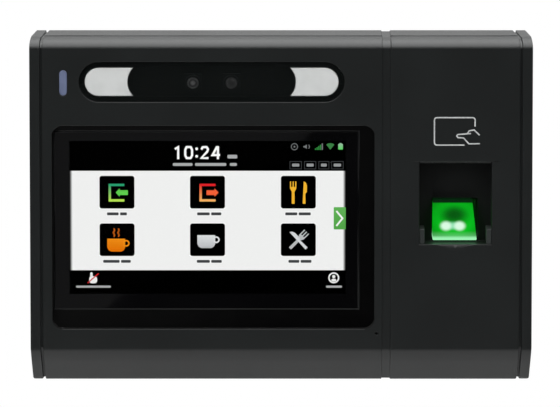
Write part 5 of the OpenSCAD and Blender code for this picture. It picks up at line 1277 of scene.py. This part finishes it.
# The chin's slope, and how far the bowed moulding stands out from it, by how far below its crease
CHIN_SLOPE = 0.014 / 0.0197
CHIN_BOW = ((0.002, 0.00053), (0.004, 0.00084), (0.0065, 0.001), (0.009, 0.00096))
# The covers' rear top edge: between which depths it lies and how far across, and its two heights
EDGE_FRONT, EDGE_STEP, EDGE_BACK, EDGE_HALF = -0.029, -0.0275, -0.0264, 0.1338
EDGE_FRONT_Z, EDGE_BACK_Z = 0.09668, 0.09655

chin_cuts = [("z", CHIN_Z - down) for down, out in CHIN_BOW]
dish_cuts = [("x", READER_X + DISH_HALF * share)
             for share in (-0.9, -0.76, -0.5, -0.25, 0.25, 0.5, 0.76, 0.9)]
dish_cuts += [("z", DISH_FADE + (DISH_END - DISH_FADE) * share)
              for share in (0.0, 0.2, 0.4, 0.6, 0.8)]
# How near a point lies to count as on a line, on the chin's face, or on a cut
ON_LINE, ON_CHIN, ON_CUT = 0.0001, 0.00005, 0.0003
# Planes through the covers' openings and, in the reader cover, through the dish
case_cuts = {
    "main_front_cover": [("x", -0.1212), ("x", -0.0378), ("x", MIC_X), ("z", 0.0), ("z", 0.0722)],
    "reader_front_cover": [("x", READER_X), ("z", 0.004)] + dish_cuts,
}


def case_rounding(middle):
    """The chin's lower edge is softer than the others, most at its two corners, and so is the
    reader cover's edge along the strip. The others are crisp."""
    if middle.z < BOTTOM_Z + 0.0005:
        return 3.5 if abs(middle.x) > CORNER_X else 2.0
    return 2.0 if abs(middle.x - STRIP_X - STRIP_HALF) < ON_LINE else 1.0


def strip_rounding(middle):
    """The strip's long edges lie down in its channel and stay sharp"""
    return 0.0 if abs(abs(middle.x - STRIP_X) - STRIP_HALF) < ON_LINE else case_rounding(middle)


def bow_out(vertex, inset):
    """Moves a point of the chin forward, where the chin lies this far behind the covers' own"""
    x, y, z = vertex.co
    if z < CHIN_Z and abs(y - (FACE_Y + (CHIN_Z - z) * CHIN_SLOPE) - inset) < ON_CHIN:
        for down, out in CHIN_BOW:
            if abs(z - CHIN_Z + down) < ON_CUT:
                vertex.co.y -= out


def strip_moulding(vertex):
    """The strip's chin bows as the covers' do, set back in its channel"""
    bow_out(vertex, STRIP_INSET)


def case_moulding(vertex):
    """The chin bows out a little, the covers stand lower than the rear shells where they meet them,
    and the shallow dish round the finger opening runs out to the face at its lower end"""
    bow_out(vertex, 0.0)
    x, y, z = vertex.co
    if z > TOP_Z - 0.0002 and EDGE_FRONT < y < EDGE_BACK and abs(x) < EDGE_HALF:
        vertex.co.z = EDGE_BACK_Z if y > EDGE_STEP else EDGE_FRONT_Z
    across = (x - READER_X) / DISH_HALF
    in_skin = FACE_Y + 0.00001 < y < FACE_Y + DISH_DEPTH + ON_CUT
    if in_skin and abs(across) < 1.001 and DISH_END - ON_CUT < z < DISH_TOP:
        fade = min(1.0, max(0.0, (z - DISH_END) / (DISH_FADE - DISH_END)))
        vertex.co.y = FACE_Y + DISH_DEPTH * max(0.0, 1 - across ** 2) * fade ** 2 * (3 - 2 * fade)


case_pieces = {}
for part in ("main_front_cover", "reader_front_cover", "joint_strip", "left_end_cap",
             "right_end_cap"):
    is_strip = part == "joint_strip"
    piece = rounded_copy(part, "look_" + part, CASE_EDGE, case_cuts.get(part, []) + chin_cuts, 3,
                         rounder=strip_rounding if is_strip else case_rounding,
                         moulder=strip_moulding if is_strip else case_moulding)
    case_pieces[part] = finish_piece(piece, charcoal, part, "case_plastic")

# The screen's recess: the floor is polished in the mould to a glossy black; the walls stay matt and
# are painted near black, a painted shade in the recess
RECESS_LOW, RECESS_HIGH = (-0.12775, -0.0404, -0.0665), (0.05215, -0.0370, 0.0481)
polished, tree, shader = new_material("polished_black")
fill(tree, shader, {"Base Color": clouded(tree, 18.0, paint(1, 1, 1), paint(3, 3, 3)),
                    "Roughness": spread(tree, noise(tree, 90.0), 0.14, 0.2)})
# Near black with little gloss on the recess walls: painted shade that keeps the lamps' light off
# them
recess_wall_shade = moulded_plastic("recess_walls_painted_shade", paint(2, 2, 2), paint(4, 4, 4), 0.7, 0.8, 0.0006,
                             0.00004, 0.1)
cover = case_pieces["main_front_cover"].data
cover.materials.append(polished)
cover.materials.append(recess_wall_shade)
for polygon in cover.polygons:
    if all(low < at < high for low, at, high in zip(RECESS_LOW, polygon.center, RECESS_HIGH)):
        polygon.material_index = 1 if abs(polygon.normal.y) > 0.9 else 2


# The touch glass: 1.8 mm toughened glass with a black border printed on its back, laid on a gasket
# round the display. Over the lit area it is clear, with a coating that stops reflections.
cover_glass, tree, shader = new_material("printed_cover_glass")
lit_middle = middle_of([vertex.co for vertex in screen_page.data.vertices])[0]
split = add_node(tree, "ShaderNodeSeparateXYZ", {0: object_place(tree, middle=lit_middle)})
# The clear part is this much wider than the lit page on every side, in millimetres
CLEAR_EDGE = 0.3
within_x, within_z = [maths(tree, "LESS_THAN", maths(tree, "ABSOLUTE", split.outputs[axis]),
                            (half + CLEAR_EDGE) / 1000.0)
                      for axis, half in (("X", HALF_W), ("Z", HALF_H))]
clear = maths(tree, "MULTIPLY", within_x, within_z)
print_tone = clouded(tree, 20.0, paint(3, 3, 4), paint(5, 5, 6))
fill(tree, shader, {"Base Color": mixed(tree, clear, print_tone, paint(250, 251, 250)),
                    "Transmission Weight": clear, "IOR": spread(tree, clear, 1.5, 1.08),
                    "Roughness": spread(tree, noise(tree, 45.0), 0.02, 0.05)})
dressed("touch_glass", 0.00025, cover_glass, "cover_glass")
dress("glass_gasket", seal_rubber)


# The card sign: pale grey ink, pad printed on the reader cover where a card is held. It is a plain
# card outline and a hand, with no word.
ink, tree, shader = new_material("pale_ink")
stipple = noise(tree, 1500.0)
fill(tree, shader, {"Base Color": clouded(tree, 900.0, paint(176, 178, 178), paint(196, 198, 198)),
                    "Roughness": spread(tree, stipple, 0.5, 0.7),
                    "Normal": bump(tree, stipple, 0.2, 0.00002)})
sign = Picture(seen_on("card_symbol", surface_of(case_pieces["reader_front_cover"])),
               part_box("reader_front_cover")[0].y - 0.00001)
LINE, INK_GREY = 0.72, paint(190, 190, 190)
CARD_LEFT, CARD_RIGHT, CARD_LOW, CARD_HIGH, CORNER = -11.1, 8.7, -6.5, 6.1, 1.4
corner = [(-CORNER * math.cos(math.radians(a)), CORNER * math.sin(math.radians(a)))
          for a in (0, 22.5, 45, 67.5, 90)]
outline = [(4.2, -7.9)]
outline += [(CARD_LEFT + dx, CARD_LOW - dz) for dx, dz in corner[::-1]]
outline += [(CARD_LEFT + dx, CARD_HIGH + dz) for dx, dz in corner]
outline += [(CARD_RIGHT - dx, CARD_HIGH + dz) for dx, dz in corner[::-1]]
outline += [(10.1, 2.5)]
sign.line(outline, LINE, 0, INK_GREY)
sign.line([(5.9, -1.4), (6.8, 0.1), (9.6, 0.6), (12.7, -2.4)], LINE, 0.01, INK_GREY)
sign.line([(7.9, -1.4), (0.5, -2.0), (-0.1, -2.8), (0.6, -3.7), (3.7, -3.9), (6.7, -7.2),
           (12.8, -7.1)], LINE, 0.02, INK_GREY)
finish_piece(sign.made("card_sign"), ink, None, "light_plastic")


# What is worked out: how far each thing shows from its point in the photograph, by the finished
# vertices that show.
def in_picture(point):
    """Where the camera shows a place, in the photograph's pixels"""
    local = camera.matrix_world.inverted() @ point
    long_side = max(PHOTO_W, PHOTO_H)
    scale = long_side * camera_data.lens / camera_data.sensor_width / -local.z
    return (PHOTO_W / 2 + local.x * scale - camera_data.shift_x * long_side,
            PHOTO_H / 2 - local.y * scale + camera_data.shift_y * long_side)


graph = bpy.context.evaluated_depsgraph_get()
see_through = {"look_touch_glass", "look_camera_window"}
solid = bmesh.new()
finished = {}
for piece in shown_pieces():
    shape = piece.evaluated_get(graph).to_mesh()
    finished[piece.name] = [piece.matrix_world @ v.co for v in shape.vertices]
    if piece.name not in see_through:
        shape.transform(piece.matrix_world)
        solid.from_mesh(shape)
    piece.evaluated_get(graph).to_mesh_clear()
solid_tree = BVHTree.FromBMesh(solid)
solid.free()


# A vertex is hidden if what stands before it is this much nearer to the camera
NEARER = 0.0004


def shown(names, keep=None):
    """Where the vertices of some pieces that the camera sees are in the picture"""
    seen_at = []
    for name in names:
        for point in finished[name]:
            if keep and not keep(point):
                continue
            way = point - camera.location
            hit = solid_tree.ray_cast(camera.location, way.normalized())
            if hit[0] is None or hit[3] > way.length - NEARER:
                seen_at.append(in_picture(point))
    return seen_at


every = shown([piece.name for piece in case_pieces.values()]
              + ["look_main_rear_housing", "look_reader_rear_housing"])
lens_left, lens_right = [middle_of(part)[0] for part in loose_parts("camera_lenses")]
LENS_REACH, MIC_REACH, MIC_Y, READER_FACE_Y, READER_FACE_Z = 0.005, 0.0013, -0.0385, -0.0395, 0.07
things = {
    "status_light": shown(["look_status_light"]),
    "camera_window": shown(["look_camera_window", "look_lamp_diffusers"]),
    "left_lens": shown(["domed_lenses"], lambda p: (p - lens_left).length < LENS_REACH),
    "right_lens": shown(["domed_lenses"], lambda p: (p - lens_right).length < LENS_REACH),
    "screen_picture": shown(["screen_page"]),
    "side_tab": shown(["screen_side_tab"]),
    "card_symbol": shown(["card_sign"]),
    "reader_window": shown(["lit_prism"], lambda p: p.y < prism_front + FACE_LEAN + 0.0005),
    "microphone_hole": shown(
        ["look_main_front_cover"],
        lambda p: p.y < MIC_Y and math.hypot(p.x - MIC_X, p.z - MIC_Z) < MIC_REACH),
}
reader_seen = shown(["look_reader_front_cover"],
                    lambda p: p.y < READER_FACE_Y and abs(p.z) < READER_FACE_Z)
found = {
    "case_left": (min(p[0] for p in every), None),
    "case_right": (max(p[0] for p in every), None),
    "case_top": (None, min(p[1] for p in every)),
    "case_bottom": (None, max(p[1] for p in every)),
    "joint_light_line": (min(p[0] for p in reader_seen), None) if reader_seen else (None, None),
}
for name, at in things.items():
    if at:
        found[name] = ((min(p[0] for p in at) + max(p[0] for p in at)) / 2,
                       (min(p[1] for p in at) + max(p[1] for p in at)) / 2)
for name, point in image_points.items():
    at = found.get(name, (None, None))
    [None if wanted is None or got is None else round(got - wanted, 2)
                     for got, wanted in zip(at, point)]
